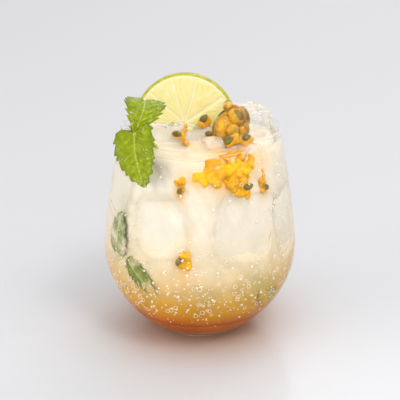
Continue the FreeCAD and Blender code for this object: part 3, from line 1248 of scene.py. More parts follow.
@dataclass
class Bubbles:
    """Small bubbles that cling to the inside of the wall, and larger ones drawn as rings."""

    tumbler: Tumbler
    seed: int = 5
    low_count: int = 900
    high_count: int = 380
    ring_count: int = 390
    # heights in millimetres: least, most usual and greatest, or least and greatest
    low_heights: Triple = (12, 31, 56)
    high_heights: tuple[float, float] = (45, 97)
    low_ring_heights: Triple = (17, 34, 55)
    high_ring_heights: tuple[float, float] = (48, 97)
    ring_thickness: float = 0.16
    ring_around: int = 12
    ring_section: int = 4

    def make(self, shop: Workshop) -> None:
        """Makes and dresses the bubbles."""
        draw = np.random.default_rng(self.seed)
        count = self.low_count + self.high_count
        low = draw.triangular(*self.low_heights, self.low_count)
        high = draw.uniform(*self.high_heights, self.high_count)
        height = np.concatenate([low, high]) * MM
        bearing = draw.uniform(0, 360, count)
        radius = draw.lognormal(-1.05, 0.38, count).clip(0.18, 0.7) * MM
        centres = self.tumbler.on_wall(bearing, height, radius * 1.1)
        unit = ball(6, 9)
        frames = np.tile(np.eye(3), (count, 1, 1))
        pearls = scattered(unit, centres, frames, np.repeat(radius[:, None], 3, axis=1))
        shop.piece("bubbles", pearls, Look.BUBBLE, "drink")
        self.rings(shop, draw)

    def rings(self, shop: Workshop, draw: np.random.Generator) -> None:
        """Rings that lie on the wall: a thin circle carried round a larger one."""
        count = self.ring_count
        section = np.arange(self.ring_section) * 2 * math.pi / self.ring_section
        thin = self.ring_thickness
        profile = np.stack([1 + thin * np.cos(section), thin * np.sin(section)], axis=1)
        grid = turned(profile, self.ring_around)
        unit = lattice(np.vstack([grid, grid[:1]])).outward()
        many = count // 4
        low = draw.triangular(*self.low_ring_heights, count - many)
        high = draw.uniform(*self.high_ring_heights, many)
        height = np.concatenate([low, high]) * MM
        bearing = draw.uniform(0, 360, count)
        radius = draw.uniform(0.42, 1.08, count) * MM
        centres = self.tumbler.on_wall(bearing, height, 0.5 * MM)
        angle = np.radians(bearing)
        outward = np.stack([np.cos(angle), np.sin(angle), np.zeros(count)], axis=1)
        frames = frames_facing(outward, np.zeros(count))
        shape = scattered(unit, centres, frames, np.repeat(radius[:, None], 3, axis=1))
        shop.piece("bubble_rings", shape, Look.BUBBLE, "drink")


@dataclass
class Ice:
    """The ice that stands out of the drink."""

    cubes: tuple[IceCube, ...] = (
        IceCube("ice_left", (-14.6, 0.6, 93.8), (18.0, 19.0, 19.6), 5, 9),
        IceCube("ice_centre", (2.8, 1.2, 93.0), (14.4, 17.4, 19.6), -8, 8),
        IceCube("ice_under_heap", (17.4, -4.4, 95.6), (15.0, 15.0, 18.6), 9, 14),
        IceCube("ice_right", (23.8, 13.8, 99.4), (18.6, 16.6, 20.6), 24, 5),
        IceCube("ice_front", (6.2, -14.6, 96.6), (9.6, 10.2, 12.8), 16, 14),
        IceCube("ice_front_right", (21.0, -18.0, 93.2), (15.0, 13.6, 16.6), -42, 6),
        IceCube("ice_back", (4.6, 28.0, 95.0), (17.0, 12.4, 18.6), -6, 8),
        IceCube("ice_back_left", (-14.5, 28.4, 93.8), (14.0, 10.8, 17.4), 26, -4),
    )

    def make(self, shop: Workshop) -> None:
        """Makes and dresses the cubes."""
        for number, cube in enumerate(self.cubes):
            shop.piece(cube.node + "_melted", cube.shape(number), Look.ICE, "ice", [cube.node])


@dataclass
class LimeWheel:
    """The slice: flesh in segments, pith ring and rind."""

    radius: float = 25 * MM
    thickness: float = 5 * MM
    centre: Triple = (-7.5 * MM, 12 * MM, 101.4 * MM)
    lean: float = 18.0
    turn: float = -4.0
    segments: int = 10
    flesh_share: float = 0.90
    rind_share: float = 0.950
    cols: int = 240

    def shape(self) -> Shape:
        """Two faces of rings about the middle, joined round a softened edge.

        The face's height is half the thickness, sunk along the membranes, which run out from the
        middle, and swelled between them.
        """
        share = np.concatenate(
            [np.linspace(0, self.flesh_share, 46), np.linspace(self.flesh_share, 1, 16)[1:]]
        )
        angle = np.arange(self.cols) * 2 * math.pi / self.cols
        wander = 0.10 * np.sin(angle * 3 + 1.0) + 0.06 * np.sin(angle * 5 + 0.4)
        spoke = (angle + wander) * self.segments / (2 * math.pi)
        off = np.abs(spoke - np.round(spoke)) * 2 * math.pi / self.segments
        distance = share[:, None] * self.radius * off
        spokes = np.exp(-((distance / (0.45 * MM)) ** 2))
        membrane = spokes + np.exp(-((share[:, None] / 0.07) ** 2)) + 0 * off
        rim_wall = np.exp(-(((share[:, None] - self.flesh_share) / 0.012) ** 2))
        within = share[:, None] < self.flesh_share + 0.01
        membrane = np.clip(membrane * within + rim_wall * 0.6, 0, 1)
        pith = ease(self.flesh_share, self.flesh_share + 0.02, share[:, None]) + 0 * off
        rind = ease(self.rind_share - 0.02, self.rind_share + 0.01, share[:, None]) + 0 * off
        swell = 0.5 * MM * (1 - membrane) * (1 - pith) * ease(0.02, 0.3, share)[:, None]
        cells = 0.06 * MM * np.sin(spoke * 60 + share[:, None] * 30) * (1 - membrane) * (1 - pith)
        fall = ((share - 0.955) / 0.045).clip(0, 1)
        edge = self.thickness / 2 * (1 - (1 - np.sqrt(np.clip(1 - fall**2, 0, 1))) * 0.55)
        top = edge[:, None] - 0.35 * MM * (1 - pith) + swell + cells
        oval = 1 + 0.006 * np.sin(angle * 2 + 0.7)
        ring = self.radius * share[:, None] * oval
        face = np.stack([ring * np.cos(angle), ring * np.sin(angle), top], axis=-1)
        back = face[::-1].copy()
        back[..., 2] *= -1
        bulge = np.linspace(1, -1, 9)[1:-1]
        rim = self.radius * oval + 0.25 * MM * (1 - bulge[:, None] ** 2)
        side = np.stack([rim * np.cos(angle), rim * np.sin(angle), bulge[:, None] * top[-1]], -1)
        grid = np.vstack([face, side, back])
        shape = lattice(grid, poles=True)
        whole = np.ones((len(bulge), self.cols))
        marks = {"membrane": membrane, "pith": pith, "rind": rind}
        for key, mark in marks.items():
            middle = whole * (key != "membrane")
            shape.values[key] = Drink.row_values(np.vstack([mark, middle, mark[::-1]]))
        reach = np.concatenate([share, np.ones(len(bulge)), share[::-1]])
        u = np.repeat((spoke / self.segments)[None], len(reach), axis=0)
        v = np.repeat(reach[:, None], self.cols, axis=1) * 0.35
        shape.values["uv"] = np.stack([Drink.row_values(u), Drink.row_values(v)], axis=1)
        shape.points = self.placed(shape.points)
        return shape.outward()

    def placed(self, points: np.ndarray) -> np.ndarray:
        """Stands the flat wheel up, leaning back, and turns it about z."""
        spin = rotation("z", self.turn) @ rotation("x", 90 - self.lean)
        return points @ spin.T + np.array(self.centre)

    def make(self, shop: Workshop) -> None:
        """Makes and dresses the wheel."""
        shop.piece("lime_slice", self.shape(), Look.LIME, "lime", ["lime_wheel"])


@dataclass(frozen=True)
class Leaf:
    """A mint leaf arched over a circle, with teeth, a midrib and curved side veins."""

    length: float
    width: float
    skew: float
    arch: float
    slant: float = 0.0
    teeth: float = 7.3
    tooth: float = 1.9 * MM
    square: bool = False
    lobe: float = 0.0
    cup: float = 0.10
    pucker: float = 0.55 * MM
    veins: float = 7.5
    vein_lag: float = 0.30
    thickness: float = 0.45 * MM
    rows: int = 110
    cols: int = 41

    def shape(self, base: np.ndarray, along: np.ndarray, across: np.ndarray) -> Shape:
        """The leaf in place.

        Half the width is the sine of pi times the length's share to the skew, to a power, with
        saw teeth; a square-based leaf is nearly at its widest from its base on, and draws in by
        the share to a power. The middle line is an arc. Side veins leave it and bend towards the
        tip: they lie low, and the blade swells between them.

        Args:
            base: where the leaf starts.
            along: the direction from its base to its tip.
            across: the direction of its width.

        Returns:
            The leaf as a closed shape.
        """
        share = np.linspace(0.004, 0.998, self.rows)[:, None]
        side = np.linspace(-1, 1, self.cols)[None]
        saw = (share * self.teeth + 0.3 * np.sign(side) + 0.2 * np.sin(share * 19 + side)) % 1.0
        tooth = self.tooth * (saw - 0.5) * np.abs(side) ** 4 * ease(0, 0.1, share)
        half = self.width / 2 * np.sin(math.pi * share**self.skew) ** 0.6
        if self.square:
            start = np.sqrt(1 - (1 - np.clip(share / 0.06, 0, 1)) ** 2)
            draw_in = (1 - share**2.2) ** 0.8
            half = self.width / 2 * draw_in * (0.88 + 0.12 * ease(0, 0.3, share)) * start
        wide = side * (half + np.where(half > 2 * MM, tooth, 0.3 * tooth))
        edge = np.abs(side)
        lag = self.vein_lag * edge**1.3
        vein_place = (share - lag * (1 - 0.45 * share)) * self.veins
        nearest = np.abs(vein_place - np.round(vein_place))
        vein = np.exp(-((nearest / 0.085) ** 2)) * ease(0.0, 0.1, edge)
        vein = vein * (1 - ease(0.75, 1.0, edge))
        midrib = np.exp(-((wide / (0.5 * MM)) ** 2))
        swell = self.pucker * (1 - np.exp(-((nearest / 0.25) ** 2)))
        swell = swell * np.sin(math.pi * edge**0.8) ** 0.8
        half_turn = math.asin(self.length / 2 / self.arch)
        angle = 2 * half_turn * share - half_turn
        centre_x = self.length / 2 + self.arch * np.sin(angle)
        centre_h = self.arch * np.cos(angle) - self.arch * math.cos(half_turn)
        lift = swell - 0.35 * MM * midrib + self.cup * (np.abs(wide) - half * 0.4)
        flat = np.stack([share + 0 * wide, wide / self.width, 0 * wide], axis=-1)
        lift = lift + 0.5 * MM * ripple(flat, 0.8, 3)
        x = centre_x + np.sin(angle) * lift + self.slant * wide * np.sin(math.pi * share / 2)
        h = centre_h + np.cos(angle) * lift
        along = along / np.linalg.norm(along)
        face = np.cross(along, across)
        face = face / np.linalg.norm(face)
        width_way = np.cross(face, along)
        grid = base + x[..., None] * along + wide[..., None] * width_way + h[..., None] * face
        sweep = self.lobe * np.abs(side) ** 1.5 * np.exp(-share / 0.10)
        grid = grid - sweep[..., None] * along
        # painted shade mask: high where the blade lies low between its swells, and at its edge
        painted_hollow_shade = 0.55 * (1 - swell / self.pucker) + 0.2 * ease(0.8, 1, edge)
        marks = {
            "vein": np.clip(0.26 * vein + 0.9 * midrib, 0, 1),
            "painted_hollow_shade": np.clip(painted_hollow_shade, 0, 1) + 0 * share,
        }
        return self.thickened(grid, marks)

    def thickened(self, grid: np.ndarray, marks: dict[str, np.ndarray]) -> Shape:
        """Gives a sheet its thickness: rows go up one side of it and back down the other."""
        step_row, step_col = np.gradient(grid, axis=0), np.gradient(grid, axis=1)
        normal = unit_rows(np.cross(step_row, step_col))
        under = grid - normal * self.thickness * 0.5
        over = grid + normal * self.thickness * 0.5
        loop = np.concatenate([over, under[:, ::-1]], axis=1)
        shape = lattice(loop, poles=True)
        for key, mark in marks.items():
            shape.values[key] = Drink.row_values(np.concatenate([mark, mark[:, ::-1]], axis=1))
        return shape.outward()


@dataclass
class MintSprig:
    """The sprig over the rim: a stem, a leaf that hangs outside and one that curls back."""

    node: Triple = (-30.73 * MM, -26.53 * MM, 110.5 * MM)
    low: Leaf = Leaf(
        length=25.8 * MM,
        width=24.6 * MM,
        skew=0.55,
        arch=34 * MM,
        square=True,
        lobe=3.8 * MM,
        cup=0.02,
    )
    low_run: Triple = (5.3, -9.6, -23.3)
    low_across: Triple = (0.82, -0.57, 0.0)
    high: Leaf = Leaf(length=22.8 * MM, width=18.4 * MM, skew=1.25, arch=12.2 * MM, slant=-0.42)
    high_rise: Triple = (0.407, 0.0, 0.914)
    high_over: Triple = (0.0, 1.0, 0.0)
    stem_radius: float = 1.1 * MM
    # the stem's run from the node: how far in and how far up, in millimetres
    stem_steps: tuple[tuple[float, float], ...] = (
        (0.0, 0.0),
        (4.4, -3.0),
        (9.0, -5.6),
        (13.5, -10.6),
        (16.0, -18.0),
        (16.6, -27.0),
    )
    drops: int = 170
    # where bits of leaf lie on the ice, and their length
    specks: tuple[Lobe, ...] = (
        (-13.6, 6.6, 102.9, 4.2),
        (-16.8, 2.0, 103.1, 2.2),
        (-6.0, -1.0, 102.4, 1.8),
        (9.0, 20.0, 103.0, 3.0),
    )

    def stem(self) -> Shape:
        """The stem: over the rim, down into the drink, thickening."""
        node = np.array(self.node)
        inward = unit_rows(-node * [1, 1, 0])
        steps = np.array(self.stem_steps) * MM
        route = node + steps[:, :1] * inward + steps[:, 1:] * [0, 0, 1]
        path = smooth_path(route, 60)
        shape = tube(path, np.linspace(0.85, 1.0, 60) * self.stem_radius)
        count = len(shape.points)
        shape.values = {"vein": np.full(count, 0.6), "painted_hollow_shade": np.zeros(count)}
        return shape

    def make(self, shop: Workshop) -> None:
        """Makes and dresses the sprig."""
        node = np.array(self.node)
        low = self.low.shape(node, np.array(self.low_run), np.array(self.low_across))
        rise, over = np.array(self.high_rise), np.array(self.high_over)
        half = math.asin(self.high.length / 2 / self.high.arch)
        chord = over * math.sin(half) + rise * math.cos(half)
        high = self.high.shape(node, chord, np.cross(rise, over))
        shop.piece("mint_leaves", join([low, high, self.stem()]), Look.MINT, "mint", ["mint_sprig"])
        self.scraps(shop)
        self.dew(shop, np.vstack([low.points, high.points]))

    def scraps(self, shop: Workshop) -> None:
        """Bits of leaf on the ice: thin long balls."""
        rows = np.array(self.specks)
        facing = np.tile([0.0, -0.3, 1.0], (len(rows), 1))
        frames = frames_facing(facing, np.arange(len(rows)) * 0.4)
        sizes = rows[:, 3:] * np.array([[0.5, 0.16, 0.08]]) * MM
        specks = scattered(ball(10, 14), rows[:, :3] * MM, frames, sizes)
        shop.piece("leaf_specks", specks, Look.MINT, "mint")

    def dew(self, shop: Workshop, wet: np.ndarray) -> None:
        """Water drops, seated on points of the leaves drawn at random."""
        draw = np.random.default_rng(17)
        spots = wet[draw.choice(len(wet), self.drops, replace=False)]
        radius = draw.uniform(0.25, 0.55, self.drops) * MM
        frames = np.tile(np.eye(3), (self.drops, 1, 1))
        dew = scattered(ball(7, 10), spots, frames, np.repeat(radius[:, None], 3, axis=1))
        shop.piece("dew", dew, Look.DEW, "mint")


@dataclass
class SunkMint:
    """Mint leaves under the surface, flat against the wall."""

    tumbler: Tumbler
    # bearing, height, length, width, turn of the tip from upright
    places: tuple[Patch, ...] = (
        (207, 55 * MM, 27 * MM, 15 * MM, 10),
        (229, 40 * MM, 22 * MM, 10 * MM, 128),
        (322, 28 * MM, 17 * MM, 12 * MM, -50),
        (20, 45 * MM, 24 * MM, 16 * MM, 30),
        (95, 55 * MM, 22 * MM, 15 * MM, -35),
        (150, 35 * MM, 20 * MM, 14 * MM, 80),
    )

    def make(self, shop: Workshop) -> None:
        """Makes and dresses the leaves."""
        shapes = []
        for bearing, height, length, width, turn in self.places:
            angle, tip = math.radians(bearing), math.radians(turn)
            middle = self.tumbler.on_wall(np.array(bearing), np.array(height), 3.7 * MM)
            out = np.array([math.cos(angle), math.sin(angle), 0.0])
            side = np.array([-math.sin(angle), math.cos(angle), 0.0])
            along = side * math.sin(tip) + np.array([0, 0, 1.0]) * math.cos(tip)
            leaf = Leaf(
                length=length,
                width=width,
                skew=0.75,
                arch=42 * MM,
                rows=60,
                cols=25,
                cup=-0.16,
                pucker=0.3 * MM,
            )
            shapes.append(leaf.shape(middle - along * length / 2, along, np.cross(out, along)))
        shop.piece("sunk_mint", join(shapes), Look.SUNK_MINT, "mint")


class Fruit:
    """Juice sacs and seeds of the passion fruit."""

    sac = ball(16, 22)
    seed = ball(12, 18)

    @classmethod
    def sacs(
        cls, centres: np.ndarray, radii: np.ndarray, draw: np.random.Generator, dents: float
    ) -> Shape:
        """Uneven balls: each stretched a little along one axis and dented by ripples."""
        count = len(centres)
        frames = frames_facing(draw.normal(size=(count, 3)), draw.uniform(0, 6.28, count))
        stretch = draw.uniform(0.65, 1.3, (count, 3))
        return cls.moulded(centres, frames, stretch * radii[:, None], dents)

    @classmethod
    def moulded(
        cls, centres: np.ndarray, frames: np.ndarray, radii: np.ndarray, dents: float
    ) -> Shape:
        """Balls stretched to three radii, with a share of dents made by ripples."""
        shape = scattered(cls.sac, centres, frames, radii)
        middle = np.repeat(centres, len(cls.sac.points), axis=0)
        off = shape.points - middle
        shape.points = middle + off * (1 + dents * ripple(shape.points, 5 * MM, 21))[:, None]
        return shape

    @classmethod
    def seeds(
        cls, centres: np.ndarray, normals: np.ndarray, turns: np.ndarray, length: float | np.ndarray
    ) -> Shape:
        """Flat drops: a ball stretched along its length and pinched to one end.

        Args:
            centres: where they lie.
            normals: the direction of each one's thin side.
            turns: each one's turn about it, in degrees.
            length: how long they are.

        Returns:
            The seeds.
        """
        unit = Shape(cls.seed.points.copy(), cls.seed.quads, cls.seed.tris)
        pinch = 1 - 0.28 * ease(-0.2, 1.0, unit.points[:, 0])
        unit.points[:, 1] *= pinch
        frames = frames_facing(normals, np.radians(turns))
        sizes = np.broadcast_to(length, len(centres))[:, None] * np.array([[0.5, 0.34, 0.22]])
        return scattered(unit, centres, frames, sizes)


@dataclass
class PulpOnTop:
    """The pulp on the ice: sacs with seeds in them, over a smaller core."""

    level: float = LEVEL / MM
    seed: int = 8
    # centre, three radii, lean of the long axis to the right of upright in degrees
    heap: tuple[tuple[float, float, float, float, float, float, float], ...] = (
        (17.6, -3.4, 9.9, 4.6, 5.0, 6.3, -18),
        (10.6, -6.2, 6.2, 4.3, 4.6, 6.2, 24),
        (13.4, -0.6, 14.6, 2.5, 2.6, 3.4, 10),
        (21.2, -0.6, 9.4, 2.8, 3.6, 5.4, -12),
        (15.4, -8.6, 4.9, 4.2, 3.4, 3.6, 60),
        (20.2, -6.2, 4.6, 3.6, 3.6, 3.8, 40),
        (12.2, -0.4, 6.4, 4.2, 4.0, 6.6, 10),
        (17.8, 1.2, 6.6, 4.4, 3.4, 6.4, -10),
        (10.2, -9.4, 2.6, 3.0, 2.8, 3.2, 80),
    )
    strip: tuple[Lobe, ...] = (
        (11.6, -15.0, 2.2, 2.4),
        (14.2, -15.6, 2.4, 2.7),
        (17.0, -15.4, 2.8, 2.3),
        (19.4, -15.0, 3.0, 2.4),
        (22.0, -14.6, 2.8, 2.6),
        (24.0, -14.0, 1.8, 2.0),
    )
    strand: tuple[Lobe, ...] = (
        (-12.2, -7.2, 2.8, 1.9),
        (-10.0, -7.0, 2.8, 1.7),
        (-8.0, -5.6, 3.0, 1.5),
        (-7.2, -2.4, 3.5, 1.3),
        (-6.9, 0.8, 4.0, 1.3),
        (-6.8, 3.8, 4.4, 1.2),
        (-8.4, -8.8, 2.0, 1.7),
        (-7.4, -11.0, 0.9, 1.7),
        (-6.6, -13.4, 0.3, 1.8),
        (-6.0, -15.8, 0.2, 1.9),
    )
    dab: tuple[Lobe, ...] = (
        (1.2, 6.4, 5.0, 2.5),
        (3.6, 5.6, 4.2, 2.5),
        (1.0, 3.0, 3.9, 2.4),
    )
    seeded: tuple[int, ...] = (0, 3, 6, 7)
    seeded_spin: tuple[float, ...] = (115.0, 100.0, 90.0, 60.0)
    # centre, facing, turn of the long axis from level, length, step from the seed to its pulp
    lone_seeds: tuple[tuple[Triple, Triple, float, float, tuple[float, float]], ...] = (
        ((1.8, 3.4, 7.0), (0.0, -1.0, 0.4), 50.0, 5.2, (0.9, -1.3)),
        ((-11.0, -8.8, 3.6), (0.0, -0.8, 0.6), -5.0, 4.8, (0.5, 0.2)),
        ((13.6, -17.6, 3.6), (-0.2, -0.8, 0.6), 40.0, 5.6, (1.7, 0.5)),
        ((22.0, -15.8, 4.4), (0.1, -0.7, 0.7), 20.0, 4.6, (0.8, -0.9)),
        ((4.4, -6.2, 2.8), (-0.2, -0.6, 0.8), 8.0, 4.4, (1.4, 0.3)),
    )
    threads: tuple[tuple[str, str, int, int], ...] = (
        ("strip", "pulp_strip", 0, 6),
        ("strand", "pulp_strand", 0, 6),
        ("strand", "pulp_strand", 6, 10),
    )
    thread_rows: int = 70
    float_count: int = 14

    def places(self, lobes: Sequence[Lobe]) -> tuple[np.ndarray, np.ndarray]:
        """Centres and radii of lobes, in metres over the table."""
        rows = np.array(lobes)
        return (rows[:, :3] + [0, 0, self.level]) * MM, rows[:, 3] * MM

    def make(self, shop: Workshop) -> None:
        """Makes and dresses the pulp."""
        draw = np.random.default_rng(self.seed)
        seeds = [self.heaped(shop)]
        self.threaded(shop)
        spots, sizes = self.places(self.dab)
        dab = Fruit.sacs(spots, sizes * 0.85, draw, 0.24)
        shop.piece("dab_pulp", dab, Look.PULP, "pulp", ["pulp_dab"])
        seeds += self.bedded(shop)
        shop.piece("seeds_on_top", join(seeds), Look.SEED, "pulp")
        self.floating(shop, draw)

    def heaped(self, shop: Workshop) -> Shape:
        """Makes the heap's clear sacs and their core, and returns the seeds inside them."""
        rows = np.array(self.heap)
        centres = (rows[:, :3] + [0, 0, self.level]) * MM
        radii = rows[:, 3:6] * MM
        angle = np.radians(rows[:, 6])
        up = np.stack([np.sin(angle), 0 * angle, np.cos(angle)], axis=1)
        back = np.tile([0.0, 1.0, 0.0], (len(rows), 1))
        frames = np.stack([np.cross(back, up), back, up], axis=1)
        out = unit_rows(centres - centres.mean(axis=0) + [0, -4 * MM, 2 * MM])
        sacs = Fruit.moulded(centres, frames, radii, 0.07)
        shop.piece("heap_sacs", sacs, Look.JUICE, "pulp", ["pulp_heap"])
        core = Fruit.moulded(centres - out * 0.7 * MM, frames, radii * 0.72, 0.16)
        shop.piece("heap_core", core, Look.HONEY, "pulp")
        near = np.einsum("nj,nkj->nk", out, frames) * radii
        inside = centres + out * (np.linalg.norm(near, axis=1) * 0.40)[:, None]
        chosen = list(self.seeded)
        return Fruit.seeds(inside[chosen], out[chosen], np.array(self.seeded_spin), 5.4 * MM)

    def threaded(self, shop: Workshop) -> None:
        """Makes the threads: round bars that thicken and thin along smooth paths."""
        share = np.linspace(0, 1, self.thread_rows)
        taper = np.sqrt(np.sin(math.pi * np.linspace(0.04, 0.96, self.thread_rows)))
        for number, (lobes, node, first, last) in enumerate(self.threads):
            spots, sizes = self.places(getattr(self, lobes)[first:last])
            path = smooth_path(spots, self.thread_rows)
            size = np.interp(share, np.linspace(0, 1, len(sizes)), sizes)
            shape = tube(path, size * taper * (0.85 + 0.25 * ripple(path, 3.2 * MM, 40 + number)))
            shop.piece(f"pulp_thread_{number + 1}", shape, Look.PULP, "pulp", [node])

    def bedded(self, shop: Workshop) -> list[Shape]:
        """Makes the bits of pulp that lone seeds lie on, and returns the seeds."""
        seeds, beds = [], []
        for place, facing, turn, length, step in self.lone_seeds:
            spot = (np.array([place]) + [0, 0, self.level]) * MM
            seeds.append(Fruit.seeds(spot, np.array([facing]), np.array([turn]), length * MM))
            away = unit_rows(np.array([facing])) * 0.25 * length * MM
            frame = frames_facing(np.array([facing]), np.radians([turn + 12.0]))
            bed = spot - away + np.array([[step[0], 0.0, step[1]]]) * MM
            radii = np.array([[0.64, 0.48, 0.26]]) * length * MM
            beds.append(Fruit.moulded(bed, frame, radii, 0.34))
        shop.piece("seed_beds", join(beds), Look.PULP, "pulp")
        return seeds

    def floating(self, shop: Workshop, draw: np.random.Generator) -> None:
        """Bits of pulp that float at the front right, half under the surface."""
        bearing = np.radians(draw.normal(306, 8, self.float_count).clip(290, 322))
        reach = draw.uniform(27, 35, self.float_count) * MM
        radius = draw.uniform(1.3, 2.6, self.float_count) * MM
        height = self.level * MM - 0.4 * radius
        spots = np.stack([reach * np.cos(bearing), reach * np.sin(bearing), height], axis=1)
        frames = frames_facing(np.tile([0.0, 0.0, 1.0], (self.float_count, 1)), bearing * 7)
        sizes = radius[:, None] * np.array([[1.4, 1.0, 0.6]])
        shop.piece("floating_pulp", Fruit.moulded(spots, frames, sizes, 0.25), Look.PULP, "pulp")


@dataclass
class SunkPulp:
    """Pulp and seeds under the surface, against the wall."""

    tumbler: Tumbler
    seed: int = 31
    # bearing, height, spread in degrees, spread in height, how many, size
    clusters: tuple[tuple[float, float, float, float, int, float], ...] = (
        (288, 91.5 * MM, 7, 2.8 * MM, 44, 3.0 * MM),
        (303, 93.0 * MM, 5, 1.9 * MM, 24, 2.3 * MM),
        (297, 85.5 * MM, 4, 2.2 * MM, 18, 2.5 * MM),
        (278, 91 * MM, 4, 2.6 * MM, 18, 2.5 * MM),
        (256.5, 86 * MM, 1.1, 3.0 * MM, 10, 1.0 * MM),
        (320, 84 * MM, 1.2, 2.6 * MM, 9, 0.9 * MM),
        (259, 51 * MM, 1.5, 2.6 * MM, 9, 1.7 * MM),
        (95, 90 * MM, 6, 2.4 * MM, 28, 2.4 * MM),
        (170, 91 * MM, 3, 2.0 * MM, 14, 1.8 * MM),
        (20, 84 * MM, 1.2, 2.0 * MM, 8, 1.2 * MM),
    )
    # bearing, height, length
    seeds: tuple[Triple, ...] = (
        (305, 86 * MM, 5.0 * MM),
        (257, 52 * MM, 4.6 * MM),
        (256, 86 * MM, 3.4 * MM),
        (321, 83 * MM, 3.6 * MM),
        (88, 88 * MM, 5.0 * MM),
        (104, 91 * MM, 4.8 * MM),
        (171, 91 * MM, 4.8 * MM),
    )

    def make(self, shop: Workshop) -> None:
        """Makes and dresses the sunk pulp."""
        draw = np.random.default_rng(self.seed)
        spots, sizes = [], []
        for bearing, height, wide, tall, count, size in self.clusters:
            across = draw.normal(bearing, wide, count)
            up = np.clip(draw.normal(height, tall, count), 20 * MM, 98.5 * MM)
            radius = size * draw.uniform(0.6, 1.3, count)
            inset = radius + draw.uniform(0.6, 2.4, count) * MM
            spots.append(self.tumbler.on_wall(across, up, inset))
            sizes.append(radius)
        bits = Fruit.sacs(np.vstack(spots), np.concatenate(sizes), draw, 0.31)
        shop.piece("sunk_pulp", bits, Look.SUNK_PULP, "pulp")
        rows = np.array(self.seeds)
        angle = np.radians(rows[:, 0])
        out = np.stack([np.cos(angle), np.sin(angle), 0 * angle], axis=1)
        places = self.tumbler.on_wall(rows[:, 0], rows[:, 1], 1.3 * MM)
        seeds = Fruit.seeds(places, out, draw.uniform(0, 180, len(rows)), rows[:, 2])
        shop.piece("sunk_seeds", seeds, Look.SEED, "pulp")


# --- the stage ---------------------------------------------------------------------------------


@dataclass(frozen=True)
class Lamp:
    """A square soft light at a place, facing an aim, which glossy surfaces may mirror."""

    name: str
    place: Triple
    aim: Triple
    size: float
    power: float
    colour: Rgb
    mirrored: bool = True

    def make(self) -> None:
        """Hangs the lamp."""
        data = bpy.data.lights.new(self.name, "AREA")
        data.shape, data.size = "SQUARE", self.size
        data.energy, data.color = self.power, self.colour
        lamp = bpy.data.objects.new(self.name, data)
        way = np.array(self.aim) - np.array(self.place)
        level = math.hypot(way[0], way[1])
        lamp.location = self.place
        lamp.visible_glossy = self.mirrored
        turn = math.atan2(way[1], way[0]) - math.pi / 2
        lamp.rotation_euler = (math.atan2(level, -way[2]), 0.0, turn)
        bpy.context.scene.collection.objects.link(lamp)


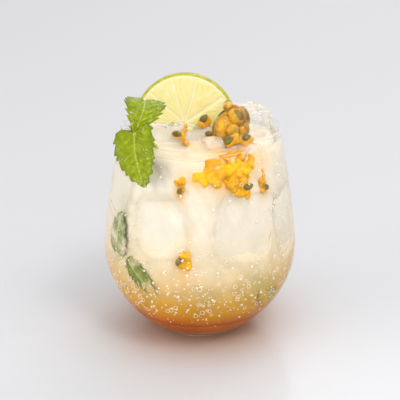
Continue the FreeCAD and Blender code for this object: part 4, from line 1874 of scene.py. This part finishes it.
@dataclass
class Studio:
    """A pale floor, soft lights and the camera."""

    aim: Triple = (0.0, 0.0, 65.6 * MM)
    distance: float = 0.750
    elevation: float = 22.7
    lens: float = 136.6
    floor_colour: Rgb = (0.71, 0.71, 0.725)
    # painted shadow and caustic: the darker amber colour under the glass, and how far it reaches
    painted_caustic_colour: Rgb = (0.50, 0.21, 0.035)
    painted_caustic_reach: float = 35 * MM
    world: Rgb = (0.98, 0.98, 1.0)
    world_strength: float = 0.68
    lamps: tuple[Lamp, ...] = (
        Lamp("key", (0.45, -0.30, 0.95), DRINK_MIDDLE, 0.6, 1.15, (1.0, 0.98, 0.95)),
        Lamp("glint", (0.25, -0.40, 0.85), DRINK_MIDDLE, 0.2, 1.6, (1.0, 1.0, 1.0)),
        Lamp("back", (0.30, 0.80, 0.85), (0.0, 0.25, 0.0), 0.7, 3.0, (1.0, 1.0, 1.0)),
        Lamp("front", (0.15, -1.10, 0.30), DRINK_MIDDLE, 0.9, 2.75, (1.0, 0.995, 0.99), False),
        Lamp("right", (0.95, -0.45, 0.30), DRINK_MIDDLE, 0.8, 1.6, (1.0, 0.995, 0.99), False),
        Lamp("left", (-0.95, -0.40, 0.30), DRINK_MIDDLE, 0.8, 4.7, (1.0, 0.995, 0.99), False),
    )

    def floor(self) -> None:
        """A wide level disc.

        A painted warm shadow and caustic tints it close to the foot, by a bell curve, where light
        that has passed the amber drink would fall.
        """
        reach = np.geomspace(0.0001, 6.0, 14)
        shape = lattice(turned(np.stack([reach, 0 * reach], axis=1), 64))
        mesh = bpy.data.meshes.new("floor")
        mesh.from_pydata(shape.points.tolist(), [], shape.quads.tolist())
        material = bpy.data.materials.new("studio floor")
        material.use_nodes = True
        nodes = Tree(material.node_tree)
        spread = nodes.add("VectorMath", Vector=nodes.place())
        spread.operation = "LENGTH"
        # painted shadow and caustic: a bell curve round the foot mixes the floor towards the darker
        # amber
        near = nodes.math("DIVIDE", spread.outputs["Value"], self.painted_caustic_reach)
        fall = nodes.math("MULTIPLY", nodes.math("POWER", near, 2.0), -1.0)
        near = nodes.math("POWER", 2.718, fall)
        colour = nodes.mix(near, self.floor_colour, self.painted_caustic_colour)
        shader = nodes.add(
            "BsdfPrincipled", Base_Color=colour, Roughness=0.2, Specular_IOR_Level=0.25
        )
        nodes.add("OutputMaterial", Surface=shader.outputs[0])
        mesh.materials.append(material)
        floor = bpy.data.objects.new("floor", mesh)
        bpy.context.scene.collection.objects.link(floor)

    def camera(self) -> None:
        """The camera, looking down on the drink from the front."""
        data = bpy.data.cameras.new("camera")
        data.lens, data.sensor_width = self.lens, 36.0
        data.clip_start, data.clip_end = 0.01, 20.0
        camera = bpy.data.objects.new("camera", data)
        angle = math.radians(self.elevation)
        camera.location = (
            self.aim[0],
            self.aim[1] - self.distance * math.cos(angle),
            self.aim[2] + self.distance * math.sin(angle),
        )
        camera.rotation_euler = (math.pi / 2 - angle, 0.0, 0.0)
        bpy.context.scene.collection.objects.link(camera)
        bpy.context.scene.camera = camera

    def make(self) -> None:
        """Sets the stage."""
        self.floor()
        world = bpy.data.worlds.new("studio")
        world.use_nodes = True
        nodes = Tree(world.node_tree)
        light = nodes.add("Background", Color=self.world, Strength=self.world_strength)
        nodes.add("OutputWorld", Surface=light.outputs[0])
        bpy.context.scene.world = world
        for lamp in self.lamps:
            lamp.make()
        bpy.context.scene.view_settings.view_transform = "Standard"
        self.camera()


def main() -> None:
    logging.basicConfig(level=logging.INFO, format="%(name)s %(message)s")
    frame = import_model()
    shop = Workshop(frame)
    tumbler = Tumbler()
    shop.dress("glass", Look.GLASS)
    Drink(tumbler).make(shop)
    Bubbles(tumbler).make(shop)
    SunkMint(tumbler).make(shop)
    SunkPulp(tumbler).make(shop)
    Ice().make(shop)
    LimeWheel().make(shop)
    PulpOnTop().make(shop)
    MintSprig().make(shop)
    Studio().make()


if __name__ == "__main__":
    main()
